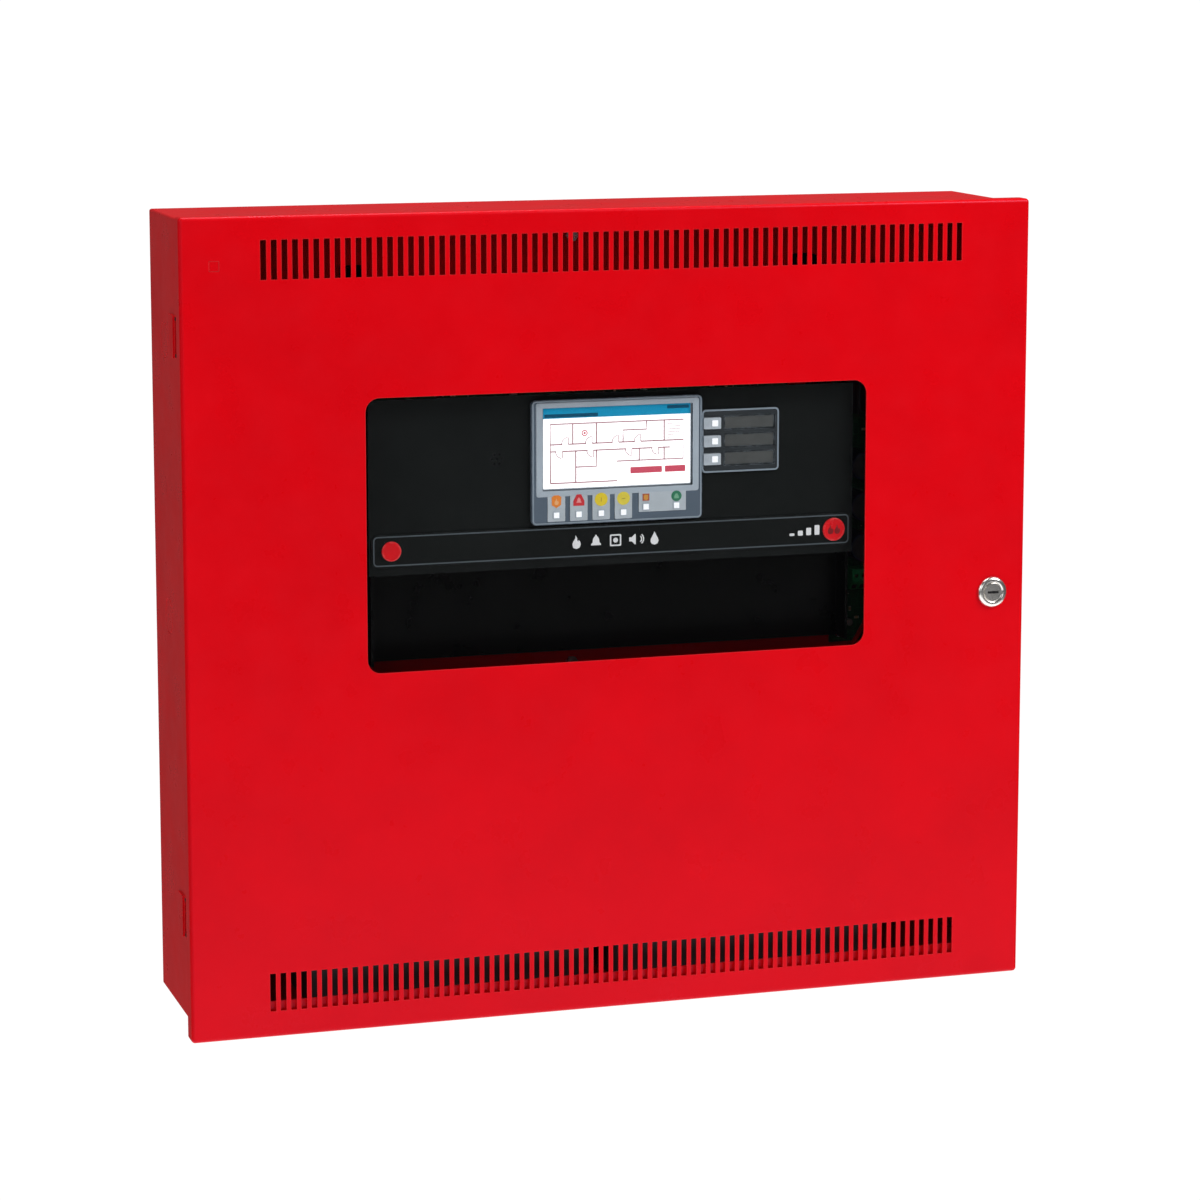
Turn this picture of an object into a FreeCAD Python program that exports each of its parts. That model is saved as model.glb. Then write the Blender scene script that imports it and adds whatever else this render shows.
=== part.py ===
"""Wall-mounted fire alarm control panel: a steel cabinet with a hinged, lockable door.

Frame: X to the right across the door, Y into the wall, Z up. The origin is the centre of the
four wall bolts, on the back face of the cabinet. The door faces -Y. All sizes are millimetres.
"""
import FreeCAD, Part
import math
import os
import re

import Sketcher

V = FreeCAD.Vector

DRIVING = {
    # sheet-metal envelope
    "door_width": 535.0,
    "door_height": 494.2,
    "depth": 102.0,
    "flange": 11.5,
    "door_sheet": 1.2,
    "box_sheet": 1.5,
    "door_gap": 1.8,
    "over_left": 2.0,
    "over_right": 9.0,
    "over_top": 1.7,
    "over_bottom": 10.0,
    "bend": 2.4,
    "lip": 11.5,
    "pattern_shift": 1.5,
    "knockout_back": 42.84,
    # openings in the door
    "window_width": 317.5,
    "window_height": 166.0,
    "window_drop": 109.3,
    "window_corner": 8.5,
    "slot_count": 70,
    "slot_pitch": 6.35,
    "slot_width": 3.6,
    "slot_height": 23.4,
    "slot_margin": 16.0,
    "slot_margin_top": 14.0,
    "plug_side": 6.0,
    "plug_inset": 20.7,
    "plug_drop": 28.7,
    # wall fixing and conduit knockouts
    "bolt_across": 406.4,
    "bolt_up": 381.0,
    "bolt_radius": 3.5,
    "knockout_radius": 11.1,
    "knockout_groove": 0.8,
    "knockout_depth": 0.4,
    # hinges
    "hinge_drop": 72.0,
    "hinge_height": 24.0,
    "hinge_notch": 23.0,
    "pivot_inset": 4.2,
    "pivot_depth": 16.0,
    "barrel": 3.0,
    "pin_radius": 2.0,
    "pin_clearance": 0.05,
    "ear": 2.0,
    "leaf": 1.2,
    "leaf_gap": 0.3,
    "leaf_lap": 12.0,
    "bracket_reach": 14.0,
    "bracket_root": 4.0,
    "backing_width": 14.0,
    "backing_half": 12.5,
    # lock
    "lock_inset": 21.5,
    "lock_rise": 0.65,
    "lock_head": 9.75,
    "lock_barrel": 8.0,
    "lock_proud": 2.5,
    "plug_radius": 5.5,
    "cam_length": 15.0,
    "cam_half": 6.0,
    "cam_sheet": 2.0,
    "cam_lift": 0.3,
    "cam_nut_half": 4.0,
    "lock_length": 16.0,
    "lock_nut_half": 9.2,
    "lock_nut_thick": 3.5,
    "lock_square_half": 3.0,
    "lock_thread": 2.5,
    "keyway_reach": 3.6,
    "keyway_half": 0.8,
    "keyway_deep": 8.0,
    "strike_width": 4.5,
    "strike_start": 15.0,
    "strike_below": 12.0,
    "strike_above": 7.0,
    # window glazing
    "gasket": 0.8,
    "pane": 2.0,
    "retainer": 1.2,
    "pane_lap": 8.0,
    "retainer_lap": 15.0,
    "stud_lap": 11.5,
    "stud_radius": 1.5,
    "stud_clearance": 0.2,
    "stud_proud": 3.5,
    "stud_nut_half": 2.75,
    "stud_nut_thick": 2.4,
    # inner panels
    "recess": 12.0,
    "panel_sheet": 1.5,
    "panel_width": 309.0,
    "panel_bottom": 24.7,
    "panel_return": 20.0,
    "blank_recess": 30.0,
    "blank_bottom": -31.0,
    "blank_return": 14.0,
    "blank_gap": 0.7,
    "pan_clearance": 0.2,
    "panel_bracket_foot": 14.0,
    "panel_screw_back": 12.0,
    "panel_screw_head": 3.2,
    "panel_screw_thick": 2.0,
    "strip_bottom": 29.5,
    "strip_height": 20.0,
    "strip_thick": 0.8,
    "strip_inset": 1.5,
    "badge_thick": 0.8,
    "badge_small": 6.0,
    "badge_large": 7.2,
    "badge_left_inset": 12.0,
    "badge_right_inset": 11.0,
    # display
    "housing_width": 108.5,
    "housing_bottom": 51.2,
    "housing_height": 76.0,
    "housing_proud": 3.0,
    "screen_width": 96.0,
    "screen_height": 50.8,
    "screen_bottom": 71.8,
    "screen_shift": 0.75,
    "screen_recess": 1.2,
    "screen_glass": 0.9,
    "screen_margin": 2.0,
    "case_left": 4.5,
    "case_right": 4.0,
    "case_below": 8.0,
    "case_above": 5.0,
    "case_deep": 4.0,
    "display_gap": 10.5,
    "slip": 0.1,
    "tile_deep": 1.2,
    "tile_proud": 0.4,
    "lamp_proud": 0.9,
    "sounder_radius": 11.0,
    "sounder_deep": 8.0,
    "sounder_hole": 0.8,
    # function keys
    "key_centre": 98.0,
    "key_pitch": 11.1,
    "key_width": 11.0,
    "key_height": 7.0,
    "key_gap": 0.3,
    "key_left": 61.2,
    "key_proud": 2.6,
    "key_rim": 0.8,
    "key_rim_gap": 0.3,
    "key_rim_thick": 1.0,
    "key_stem": 1.5,
    "key_stem_length": 2.7,
    "key_travel_gap": 1.0,
    "switch_half": 3.0,
    "key_frame_thick": 1.5,
    "key_frame_left": 1.1,
    "key_frame_right": 49.0,
    "key_frame_half": 19.5,
    "label_left": 13.4,
    "label_right": 46.4,
    "label_half": 4.4,
    "label_thick": 0.7,
    # chassis
    "standoff": 11.0,
    "chassis_sheet": 1.5,
    "board_lift": 10.0,
    "board": 1.6,
    "bolt_access": 9.0,
    "chassis_post": 4.0,
    "chassis_nut": 3.5,
    "chassis_nut_thick": 3.0,
    "board_post": 3.0,
    "board_screw": 2.8,
    "board_screw_thick": 2.0,
    # batteries, 12 V 18 Ah
    "battery_length": 181.0,
    "battery_depth": 76.5,
    "battery_height": 167.0,
    "battery_gap": 14.0,
    "battery_back": 3.0,
    "tab_inset": 22.0,
    "tab_behind": 16.0,
    "tab_rise": 6.0,
    "tab_half_width": 6.0,
    "tab_half_depth": 4.0,
    "strap_rise": 62.0,
    "strap_width": 24.0,
    "strap_clear": 12.0,
    "strap_sheet": 2.0,
}

doc = FreeCAD.newDocument("fire_alarm_control_panel")
sheet = doc.addObject("Spreadsheet::Sheet", "dims")
for row, (alias, number) in enumerate(DRIVING.items(), 1):
    sheet.set(f"A{row}", alias)
    sheet.set(f"B{row}", str(number))
    sheet.setAlias(f"B{row}", alias)
doc.recompute()

# Places worked out from the driving sizes, as expressions.
BOX_RIGHT = "((door_width - over_left - over_right) / 2)"
BOX_LEFT = f"(-{BOX_RIGHT})"
BOX_TOP = "((door_height - over_top - over_bottom) / 2)"
BOX_BOTTOM = f"(-{BOX_TOP})"
BOX_FRONT = "(-depth + door_sheet + door_gap)"
DOOR_LEFT = f"({BOX_LEFT} - over_left)"
DOOR_RIGHT = f"({BOX_RIGHT} + over_right)"
DOOR_TOP = f"({BOX_TOP} + over_top)"
DOOR_BOTTOM = f"({BOX_BOTTOM} - over_bottom)"
DOOR_INNER = "(-depth + door_sheet)"
MIDDLE = f"(({DOOR_LEFT} + {DOOR_RIGHT}) / 2 + pattern_shift)"
WINDOW_TOP = f"({DOOR_TOP} - window_drop)"
WINDOW_BOTTOM = f"({WINDOW_TOP} - window_height)"
PIVOT_X = f"({DOOR_LEFT} + pivot_inset)"
PIVOT_Y = "(-depth + pivot_depth)"
LOCK_X = f"({DOOR_RIGHT} - lock_inset)"
LOCK_Z = f"(({DOOR_TOP} + {DOOR_BOTTOM}) / 2 + lock_rise)"
PANEL_FRONT = "(-depth + recess)"
PANEL_BACK = f"({PANEL_FRONT} + panel_sheet)"
PANEL_LEFT = f"({MIDDLE} - panel_width / 2)"
PANEL_RIGHT = f"({MIDDLE} + panel_width / 2)"
CHASSIS_BACK = "(-box_sheet - standoff)"
CHASSIS_FRONT = f"({CHASSIS_BACK} - chassis_sheet)"
BOARD_BACK = f"({CHASSIS_FRONT} - board_lift)"
BOARD_FRONT = f"({BOARD_BACK} - board)"
FLOOR = f"({BOX_BOTTOM} + box_sheet)"
BATTERY_TOP = f"({FLOOR} + battery_height)"
BATTERY_FRONT = "(-box_sheet - battery_back - battery_depth)"
DISPLAY_BOARD = f"({PANEL_BACK} + display_gap)"

parts = []


def linked(expression):
    """The expression with each driving size written as a reference to its cell."""

    def reference(word):
        return f"dims.{word.group()}" if word.group() in DRIVING else word.group()

    return re.sub(r"[a-z_]+", reference, str(expression))


def value(alias):
    return float(getattr(sheet, alias))


def keep(obj, name):
    """Marks an object as a sub-part that gets its own file."""
    obj.Label = name
    parts.append(obj)
    return obj


# ---- solids -------------------------------------------------------------------------------


def block(name, x, y, z):
    """A box whose x, y and z are (low, high) pairs of expressions."""
    box = doc.addObject("Part::Box", name)
    for side, axis, (low, high) in zip(("Length", "Width", "Height"), "xyz", (x, y, z)):
        box.setExpression(side, linked(f"({high}) - ({low})"))
        box.setExpression(f"Placement.Base.{axis}", linked(low))
    return box


TURN = {
    "x": FreeCAD.Rotation(V(0, 1, 0), 90),
    "y": FreeCAD.Rotation(V(1, 0, 0), -90),
    "z": FreeCAD.Rotation(),
}


def along(obj, axis, centre, span):
    """Stands a cylinder or prism along an axis, from span[0] to span[1]."""
    low, high = span
    places = dict(zip([a for a in "xyz" if a != axis], centre))
    places[axis] = low
    obj.Placement = FreeCAD.Placement(V(), TURN[axis])
    obj.setExpression("Height", linked(f"({high}) - ({low})"))
    for letter, place in places.items():
        obj.setExpression(f"Placement.Base.{letter}", linked(place))
    return obj


def rod(name, axis, centre, radius, span):
    cylinder = doc.addObject("Part::Cylinder", name)
    cylinder.setExpression("Radius", linked(radius))
    return along(cylinder, axis, centre, span)


def hexagon(name, axis, centre, half_flat, span):
    """A hexagonal prism, given half its width across flats."""
    prism = doc.addObject("Part::Prism", name)
    prism.Polygon = 6
    prism.setExpression("Circumradius", linked(f"({half_flat}) / cos(30 deg)"))
    return along(prism, axis, centre, span)


def cut(name, base, *tools):
    result = doc.addObject("Part::Cut", name)
    result.Base = base
    result.Tool = tools[0] if len(tools) == 1 else group(f"{name}_tools", *tools)
    return result


def fuse(name, *shapes):
    result = doc.addObject("Part::MultiFuse", name)
    result.Shapes = list(shapes)
    return result


def group(name, *solids):
    """Separate solids kept together in one node."""
    result = doc.addObject("Part::Compound", name)
    result.Links = list(solids)
    return result


def grid(xs, zs):
    return [(x, z) for x in xs for z in zs]


# ---- PartDesign bodies --------------------------------------------------------------------


def sketch_on(body, name, plane, offset="0"):
    """A sketch on one of the body's origin planes, moved along the plane's normal.

    XZ_Plane looks along +Y with its normal towards -Y, YZ_Plane has its normal along +X and
    XY_Plane along +Z.
    """
    sketch = body.newObject("Sketcher::SketchObject", name)
    support = next(o for o in body.Origin.OriginFeatures if o.Role == plane)
    sketch.AttachmentSupport = (support, [""])
    sketch.MapMode = "FlatFace"
    sketch.setExpression("AttachmentOffset.Base.z", linked(offset))
    return sketch


def hold(sketch, kind, element, point, name, expression):
    """Ties one coordinate of a point, or a radius, to an expression."""
    if kind == "Radius":
        constraint = Sketcher.Constraint(kind, element, 1.0)
    else:
        constraint = Sketcher.Constraint(kind, -1, 1, element, point, 1.0)
    index = sketch.addConstraint(constraint)
    sketch.renameConstraint(index, f"{name}{element}")
    sketch.setExpression(f"Constraints.{name}{element}", linked(expression))


def rectangle(sketch, across, up):
    """A rectangle; across and up are (low, high) pairs of expressions."""
    first = sketch.GeometryCount
    corners = [V(0, 0, 0), V(9, 0, 0), V(9, 9, 0), V(0, 9, 0)]
    for i in range(4):
        sketch.addGeometry(Part.LineSegment(corners[i], corners[(i + 1) % 4]), False)
    for i in range(4):
        following = first + (i + 1) % 4
        sketch.addConstraint(Sketcher.Constraint("Coincident", first + i, 2, following, 1))
    for i in range(4):
        kind = "Horizontal" if i % 2 == 0 else "Vertical"
        sketch.addConstraint(Sketcher.Constraint(kind, first + i))
    hold(sketch, "DistanceX", first, 1, "left", across[0])
    hold(sketch, "DistanceY", first, 1, "bottom", up[0])
    hold(sketch, "DistanceX", first + 2, 1, "right", across[1])
    hold(sketch, "DistanceY", first + 2, 1, "top", up[1])


def circle(sketch, across, up, radius):
    index = sketch.addGeometry(Part.Circle(V(0, 0, 0), V(0, 0, 1), 1.0), False)
    hold(sketch, "DistanceX", index, 3, "across", across)
    hold(sketch, "DistanceY", index, 3, "up", up)
    hold(sketch, "Radius", index, 0, "radius", radius)


def pad(body, sketch, length):
    feature = body.newObject("PartDesign::Pad", f"{sketch.Name}_pad")
    feature.Profile = sketch
    feature.setExpression("Length", linked(length))
    sketch.Visibility = False
    return feature


def pocket(body, sketch, length, forwards=False):
    """Cuts against the sketch's normal, or along it when forwards is set."""
    doc.recompute()
    before = body.Shape.Volume
    feature = body.newObject("PartDesign::Pocket", f"{sketch.Name}_pocket")
    feature.Profile = sketch
    feature.Reversed = forwards
    feature.setExpression("Length", linked(length))
    doc.recompute()
    if not body.Shape.Volume < before - 1e-6:
        raise RuntimeError(f"{feature.Name} cuts nothing")
    return feature


def edge_names(shape, direction, test=lambda centre: True):
    """Straight edges along a direction whose middle passes the test."""
    names = []
    for index, edge in enumerate(shape.Edges, 1):
        if len(edge.Vertexes) < 2:
            continue
        run = edge.Vertexes[1].Point - edge.Vertexes[0].Point
        straight = abs(run.Length - edge.Length) < 1e-6
        if straight and abs(run.dot(direction)) > 0.999 * run.Length and test(edge.CenterOfMass):
            names.append(f"Edge{index}")
    return names


def fillet(body, radius, *picks):
    """Rounds the edges of the body's tip; each pick is (direction, test)."""
    doc.recompute()
    tip = body.Tip
    names = sorted({n for pick in picks for n in edge_names(tip.Shape, *pick)})
    feature = body.newObject("PartDesign::Fillet", f"{tip.Name}_fillet")
    feature.Base = (tip, names)
    feature.setExpression("Radius", linked(radius))
    doc.recompute()
    return feature


ALONG_X, ALONG_Y, ALONG_Z = V(1, 0, 0), V(0, 1, 0), V(0, 0, 1)


def plate(name, x, y, z, corner=None):
    """A flat plate facing -Y as a body, with its four corners rounded."""
    body = doc.addObject("PartDesign::Body", name)
    outline = sketch_on(body, f"{name}_outline", "XZ_Plane", f"-({y[1]})")
    rectangle(outline, x, z)
    pad(body, outline, f"({y[1]}) - ({y[0]})")
    if corner:
        fillet(body, corner, (ALONG_Y,))
    return body


def opening(body, name, x, z, front, deep, corner=None):
    """A rectangular cut from a front plane towards +Y, with rounded corners if asked."""
    sketch = sketch_on(body, name, "XZ_Plane", f"-({front})")
    rectangle(sketch, x, z)
    doc.recompute()
    old = [e.CenterOfMass for e in body.Shape.Edges]
    pocket(body, sketch, deep)
    if corner:
        fresh = lambda centre: all((centre - c).Length > 1e-4 for c in old)
        fillet(body, corner, (ALONG_Y, fresh))


def swept(name, points, radius=None, band=None):
    """A lead or ribbon along straight runs joined by tangent arcs as large as the runs allow.

    The section is a circle of the given radius, or a band of (width along X, thickness).
    """
    edges = []
    start = points[0]
    bends = []
    for before, corner, after in zip(points, points[1:], points[2:]):
        way_in, way_out = (corner - before), (after - corner)
        turn = way_in.getAngle(way_out)
        reach = 0.45 * min(way_in.Length, way_out.Length)
        bends.append(reach / math.tan(turn / 2))
        way_in.normalize()
        way_out.normalize()
        entry, leave = corner - way_in * reach, corner + way_out * reach
        to_centre = (way_out - way_in).normalize()
        middle = corner + to_centre * (
            bends[-1] / math.cos(turn / 2) - bends[-1]
        )
        edges += [Part.LineSegment(start, entry).toShape(), Part.Arc(entry, middle, leave).toShape()]
        start = leave
    edges.append(Part.LineSegment(start, points[-1]).toShape())
    path = Part.Wire(edges)
    heading = (points[1] - points[0]).normalize()
    if radius:
        section = Part.Wire([Part.Circle(points[0], heading, radius).toShape()])
        area = math.pi * radius**2
    else:
        width, thick = band
        side, up = V(width / 2, 0, 0), heading.cross(V(1, 0, 0)) * (thick / 2)
        ring = [points[0] + side + up, points[0] - side + up, points[0] - side - up]
        ring += [points[0] + side - up, points[0] + side + up]
        section = Part.makePolygon(ring)
        area = width * thick
    solid = path.makePipeShell([section], True, False)
    if abs(solid.Volume / (area * path.Length) - 1) > 0.02:
        raise RuntimeError(f"{name} has the wrong volume")
    print(f"{name}: length {path.Length:.0f}, radii", [round(b, 1) for b in bends])
    feature = doc.addObject("Part::Feature", name)
    feature.Shape = solid
    return feature


# ---- cabinet ------------------------------------------------------------------------------

HINGES = {
    "upper": f"({DOOR_TOP} - hinge_drop)",
    "lower": f"({DOOR_BOTTOM} + hinge_drop)",
}
TOP_KNOCKOUTS = [-170, -85, 0, 85, 170]
SIDE_KNOCKOUTS = [f"({DOOR_TOP} - 77)", f"({DOOR_TOP} - 244)"]


def back_box():
    """Folded sheet box with in-turned lips at top and bottom of its mouth."""
    body = doc.addObject("PartDesign::Body", "back_box")
    outline = sketch_on(body, "box_outline", "XZ_Plane")
    rectangle(outline, (BOX_LEFT, BOX_RIGHT), (BOX_BOTTOM, BOX_TOP))
    pad(body, outline, f"-{BOX_FRONT}")
    half = value("door_width") / 2
    fillet(
        body,
        "box_sheet",
        (ALONG_X, lambda c: c.y > -1),
        (ALONG_Z, lambda c: c.y > -1 and abs(c.x) < half),
        (ALONG_Y,),
    )
    inner = [(f"{BOX_LEFT} + box_sheet", f"{BOX_RIGHT} - box_sheet")]
    opening(body, "mouth", inner[0], (f"{BOX_BOTTOM} + lip", f"{BOX_TOP} - lip"),
            BOX_FRONT, "box_sheet")
    opening(body, "inside", inner[0], (f"{BOX_BOTTOM} + box_sheet", f"{BOX_TOP} - box_sheet"),
            f"{BOX_FRONT} + box_sheet", f"-{BOX_FRONT} - 2 * box_sheet")
    bolts = sketch_on(body, "wall_bolts", "XZ_Plane", "box_sheet")
    for x, z in grid((-1, 1), (-1, 1)):
        circle(bolts, f"{x} * bolt_across / 2", f"{z} * bolt_up / 2", "bolt_radius")
    pocket(body, bolts, "box_sheet")
    notches = sketch_on(body, "hinge_notches", "YZ_Plane", BOX_LEFT)
    for centre in HINGES.values():
        rectangle(notches, (BOX_FRONT, f"{BOX_FRONT} + hinge_notch"),
                  (f"{centre} - hinge_height / 2", f"{centre} + hinge_height / 2"))
    pocket(body, notches, "box_sheet", forwards=True)
    strike = sketch_on(body, "strike_slot", "YZ_Plane", BOX_RIGHT)
    rectangle(strike, ("-depth + strike_start", "-depth + strike_start + strike_width"),
              (f"{LOCK_Z} - strike_below", f"{LOCK_Z} + strike_above"))
    pocket(body, strike, "box_sheet")
    roof = sketch_on(body, "top_knockouts", "XY_Plane", BOX_TOP)
    for x in TOP_KNOCKOUTS:
        circle(roof, x, "-knockout_back", "knockout_radius")
        circle(roof, x, "-knockout_back", "knockout_radius - knockout_groove")
    pocket(body, roof, "knockout_depth")
    side = sketch_on(body, "side_knockouts", "YZ_Plane", BOX_LEFT)
    for z in SIDE_KNOCKOUTS:
        circle(side, "-knockout_back", z, "knockout_radius")
        circle(side, "-knockout_back", z, "knockout_radius - knockout_groove")
    pocket(body, side, "knockout_depth", forwards=True)
    keep(body, "back_box")


def hinge_bracket(name, centre):
    """Bracket inside the box wall whose two ears hold the pin."""
    wall = f"{BOX_LEFT} + box_sheet"
    rear = f"{BOX_FRONT} + hinge_notch"
    reach = f"{PIVOT_X} + barrel"
    half = "hinge_height / 2"
    pieces = [block(f"{name}_flat", (wall, f"{wall} + leaf"), (rear, f"{rear} + bracket_reach"),
                    (f"{centre} - {half}", f"{centre} + {half}"))]
    for tag, low in (("low", f"{centre} - {half}"), ("high", f"{centre} + {half} - ear")):
        pieces.append(block(f"{name}_{tag}_ear", (BOX_LEFT, reach),
                            (f"{PIVOT_Y} - barrel", rear), (low, f"{low} + ear")))
        pieces.append(block(f"{name}_{tag}_root", (wall, reach), (rear, f"{rear} + bracket_root"),
                            (low, f"{low} + ear")))
    pin = rod(f"{name}_pin_hole", "z", (PIVOT_X, PIVOT_Y), "pin_radius",
              (f"{centre} - {half} - 1", f"{centre} + {half} + 1"))
    keep(cut(name, fuse(f"{name}_folded", *pieces), pin), name)


def hinge_leaf(name, centre):
    """Door half of the hinge: a leaf inside the door's flange, rolled round the pin."""
    half = "(hinge_height / 2 - ear - leaf_gap)"
    span = (f"{centre} - {half}", f"{centre} + {half}")
    left = f"({PIVOT_X} - barrel)"
    flat = block(f"{name}_flat", (left, f"{left} + leaf"), (f"{PIVOT_Y} - leaf_lap", PIVOT_Y), span)
    barrel = rod(f"{name}_barrel", "z", (PIVOT_X, PIVOT_Y), "barrel", span)
    bore = rod(f"{name}_bore", "z", (PIVOT_X, PIVOT_Y), "pin_radius + pin_clearance", span)
    keep(cut(name, fuse(f"{name}_rolled", flat, barrel), bore), name)


def hinges():
    pins, backs = [], []
    for side, centre in HINGES.items():
        hinge_bracket(f"{side}_hinge_bracket", centre)
        hinge_leaf(f"{side}_hinge_leaf", centre)
        pins.append(rod(f"{side}_pin", "z", (PIVOT_X, PIVOT_Y), "pin_radius",
                        (f"{centre} - hinge_height / 2", f"{centre} + hinge_height / 2")))
        rear = f"({BOX_FRONT} + hinge_notch + 1)"
        backs.append(block(f"{side}_backing", (f"{BOX_LEFT} - leaf", BOX_LEFT),
                           (rear, f"{rear} + backing_width"),
                           (f"{centre} - backing_half", f"{centre} + backing_half")))
    keep(group("hinge_pins", *pins), "hinge_pins")
    keep(group("hinge_backing_plates", *backs), "hinge_backing_plates")


# ---- chassis and electronics --------------------------------------------------------------

CHASSIS_X, CHASSIS_Z = (-252, 252), (-58, 228)
CHASSIS_POSTS = grid((-235, 0, 235), (-50, 220))
BOARD_INSET = 6
BOARDS = {
    "zone_board": ((-248, -162), (-45, 172)),
    "main_board": ((-130, 140), (-28, 150)),
    "power_board": ((170, 248), (-45, 172)),
}


def chassis():
    body = plate("chassis_plate", CHASSIS_X, (CHASSIS_FRONT, CHASSIS_BACK), CHASSIS_Z, "3")
    access = sketch_on(body, "bolt_access", "XZ_Plane", f"-{CHASSIS_FRONT}")
    for side in (-1, 1):
        circle(access, f"{side} * bolt_across / 2", "bolt_up / 2", "bolt_access")
    pocket(body, access, "chassis_sheet")
    keep(body, "chassis_plate")
    posts = [hexagon(f"chassis_post{i}", "y", spot, "chassis_post", (CHASSIS_BACK, "-box_sheet"))
             for i, spot in enumerate(CHASSIS_POSTS)]
    keep(group("chassis_standoffs", *posts), "chassis_standoffs")
    nut_y = (f"{CHASSIS_FRONT} - chassis_nut_thick", CHASSIS_FRONT)
    fixings = [hexagon(f"chassis_nut{i}", "y", spot, "chassis_nut", nut_y)
               for i, spot in enumerate(CHASSIS_POSTS)]
    head_y = (f"{BOARD_FRONT} - board_screw_thick", BOARD_FRONT)
    post_y = (BOARD_BACK, CHASSIS_FRONT)
    spacers = []
    for name, (xs, zs) in BOARDS.items():
        keep(block(name, xs, (BOARD_FRONT, BOARD_BACK), zs), name)
        corners = grid((xs[0] + BOARD_INSET, xs[1] - BOARD_INSET),
                       (zs[0] + BOARD_INSET, zs[1] - BOARD_INSET))
        for i, spot in enumerate(corners):
            spacers.append(hexagon(f"{name}_post{i}", "y", spot, "board_post", post_y))
            fixings.append(rod(f"{name}_screw{i}", "y", spot, "board_screw", head_y))
    keep(group("board_standoffs", *spacers), "board_standoffs")
    keep(group("board_fixings", *fixings), "board_fixings")


def on_board(name, x, z, height):
    """A component standing on the front of a board."""
    return block(name, x, (f"{BOARD_FRONT} - {height}", BOARD_FRONT), z)


def row_of(name, count, x, z, step, height):
    """A row of equal components, each moved by step = (across, up) from the one before."""
    row = []
    for i in range(count):
        across, up = i * step[0], i * step[1]
        row.append(on_board(f"{name}{i}", (x[0] + across, x[1] + across),
                            (z[0] + up, z[1] + up), height))
    return row


RIBBON_X = (15, 55)
SOCKET_Z, SOCKET_HEIGHT = (2, 10), 9
CAN_X, CAN_Z, CAN_STEP, CAN_RADIUS, CAN_HEIGHT = 183, 20, 26, 9, 26
HEATSINK_Z = (106, 162)
FIN_X, FIN_STEP, FIN_HEIGHT = (176, 178), 7.75, 30
CORE_X, CORE_Z, CORE_HEIGHT = (198, 244), (24, 84), 34
CORE_LEG_Z = (48, 60)
CORE_WINDOW_X, CORE_WINDOWS_Z = (206, 236), ((32, 48), (60, 76))
COIL_X, COIL_Z, COIL_HEIGHT = (206.5, 235.5), (32.5, 75.5), 38


def components():
    terminals = row_of("zone_terminal", 7, (-246, -232), (-24, -2), (0, 27), 14)
    terminals += row_of("power_terminal", 2, (180, 206), (-10, 4), (30, 0), 14)
    keep(group("field_terminals", *terminals), "field_terminals")
    chips = row_of("relay", 5, (-212, -192), (8, 34), (0, 32), 15)
    chips += row_of("chip", 4, (-90, -62), (60, 88), (60, 0), 3)
    chips.append(on_board("ribbon_socket", RIBBON_X, SOCKET_Z, SOCKET_HEIGHT))
    keep(group("board_components", *chips), "board_components")
    can_y = (f"{BOARD_FRONT} - {CAN_HEIGHT}", BOARD_FRONT)
    cans = [rod(f"capacitor{i}", "y", (CAN_X, CAN_Z + CAN_STEP * i), CAN_RADIUS, can_y)
            for i in range(3)]
    keep(group("power_capacitors", *cans), "power_capacitors")
    base = on_board("heatsink_base", (176, 240), HEATSINK_Z, 5)
    fins = row_of("heatsink_fin", 9, FIN_X, HEATSINK_Z, (FIN_STEP, 0), FIN_HEIGHT)
    keep(fuse("power_heatsink", base, *fins), "power_heatsink")
    stack = on_board("transformer_stack", CORE_X, CORE_Z, CORE_HEIGHT)
    windows = [on_board(f"core_window{i}", CORE_WINDOW_X, z, CORE_HEIGHT + 1)
               for i, z in enumerate(CORE_WINDOWS_Z)]
    keep(cut("transformer_core", stack, *windows), "transformer_core")
    coil = on_board("transformer_coil", COIL_X, COIL_Z, COIL_HEIGHT)
    leg = on_board("transformer_leg", CORE_X, CORE_LEG_Z, CORE_HEIGHT)
    keep(cut("transformer_winding", coil, leg), "transformer_winding")


def batteries():
    spans = {
        "battery_left": ("-battery_gap / 2 - battery_length", "-battery_gap / 2"),
        "battery_right": ("battery_gap / 2", "battery_gap / 2 + battery_length"),
    }
    behind = "-box_sheet - battery_back"
    middle = f"{BATTERY_FRONT} + tab_behind"
    tab_y = (f"{middle} - tab_half_depth", f"{middle} + tab_half_depth")
    tab_z = (BATTERY_TOP, f"{BATTERY_TOP} + tab_rise")
    off_floor = lambda c: c.z > -value("door_height") / 4
    tabs = []
    for name, across in spans.items():
        body = plate(name, across, (BATTERY_FRONT, behind), (FLOOR, BATTERY_TOP))
        fillet(body, "2", (ALONG_Z,), (ALONG_X, off_floor), (ALONG_Y, off_floor))
        keep(body, name)
        for end in ("tab_inset", "battery_length - tab_inset"):
            x = f"{across[0]} + {end}"
            tabs.append(block(f"{name}_tab{len(tabs)}",
                              (f"{x} - tab_half_width", f"{x} + tab_half_width"), tab_y, tab_z))
    keep(group("battery_terminals", *tabs), "battery_terminals")
    height = (f"{FLOOR} + strap_rise", f"{FLOOR} + strap_rise + strap_width")
    reach = "(battery_gap / 2 + battery_length + strap_clear)"
    strap_front = f"{BATTERY_FRONT} - strap_sheet"
    bar = block("strap_bar", (f"-{reach}", reach), (strap_front, BATTERY_FRONT), height)
    legs = [block(f"strap_leg{side}",
                  (f"{side} * {reach} - strap_sheet / 2", f"{side} * {reach} + strap_sheet / 2"),
                  (strap_front, "-box_sheet"), height) for side in (-1, 1)]
    keep(fuse("battery_strap", bar, *legs), "battery_strap")


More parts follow.
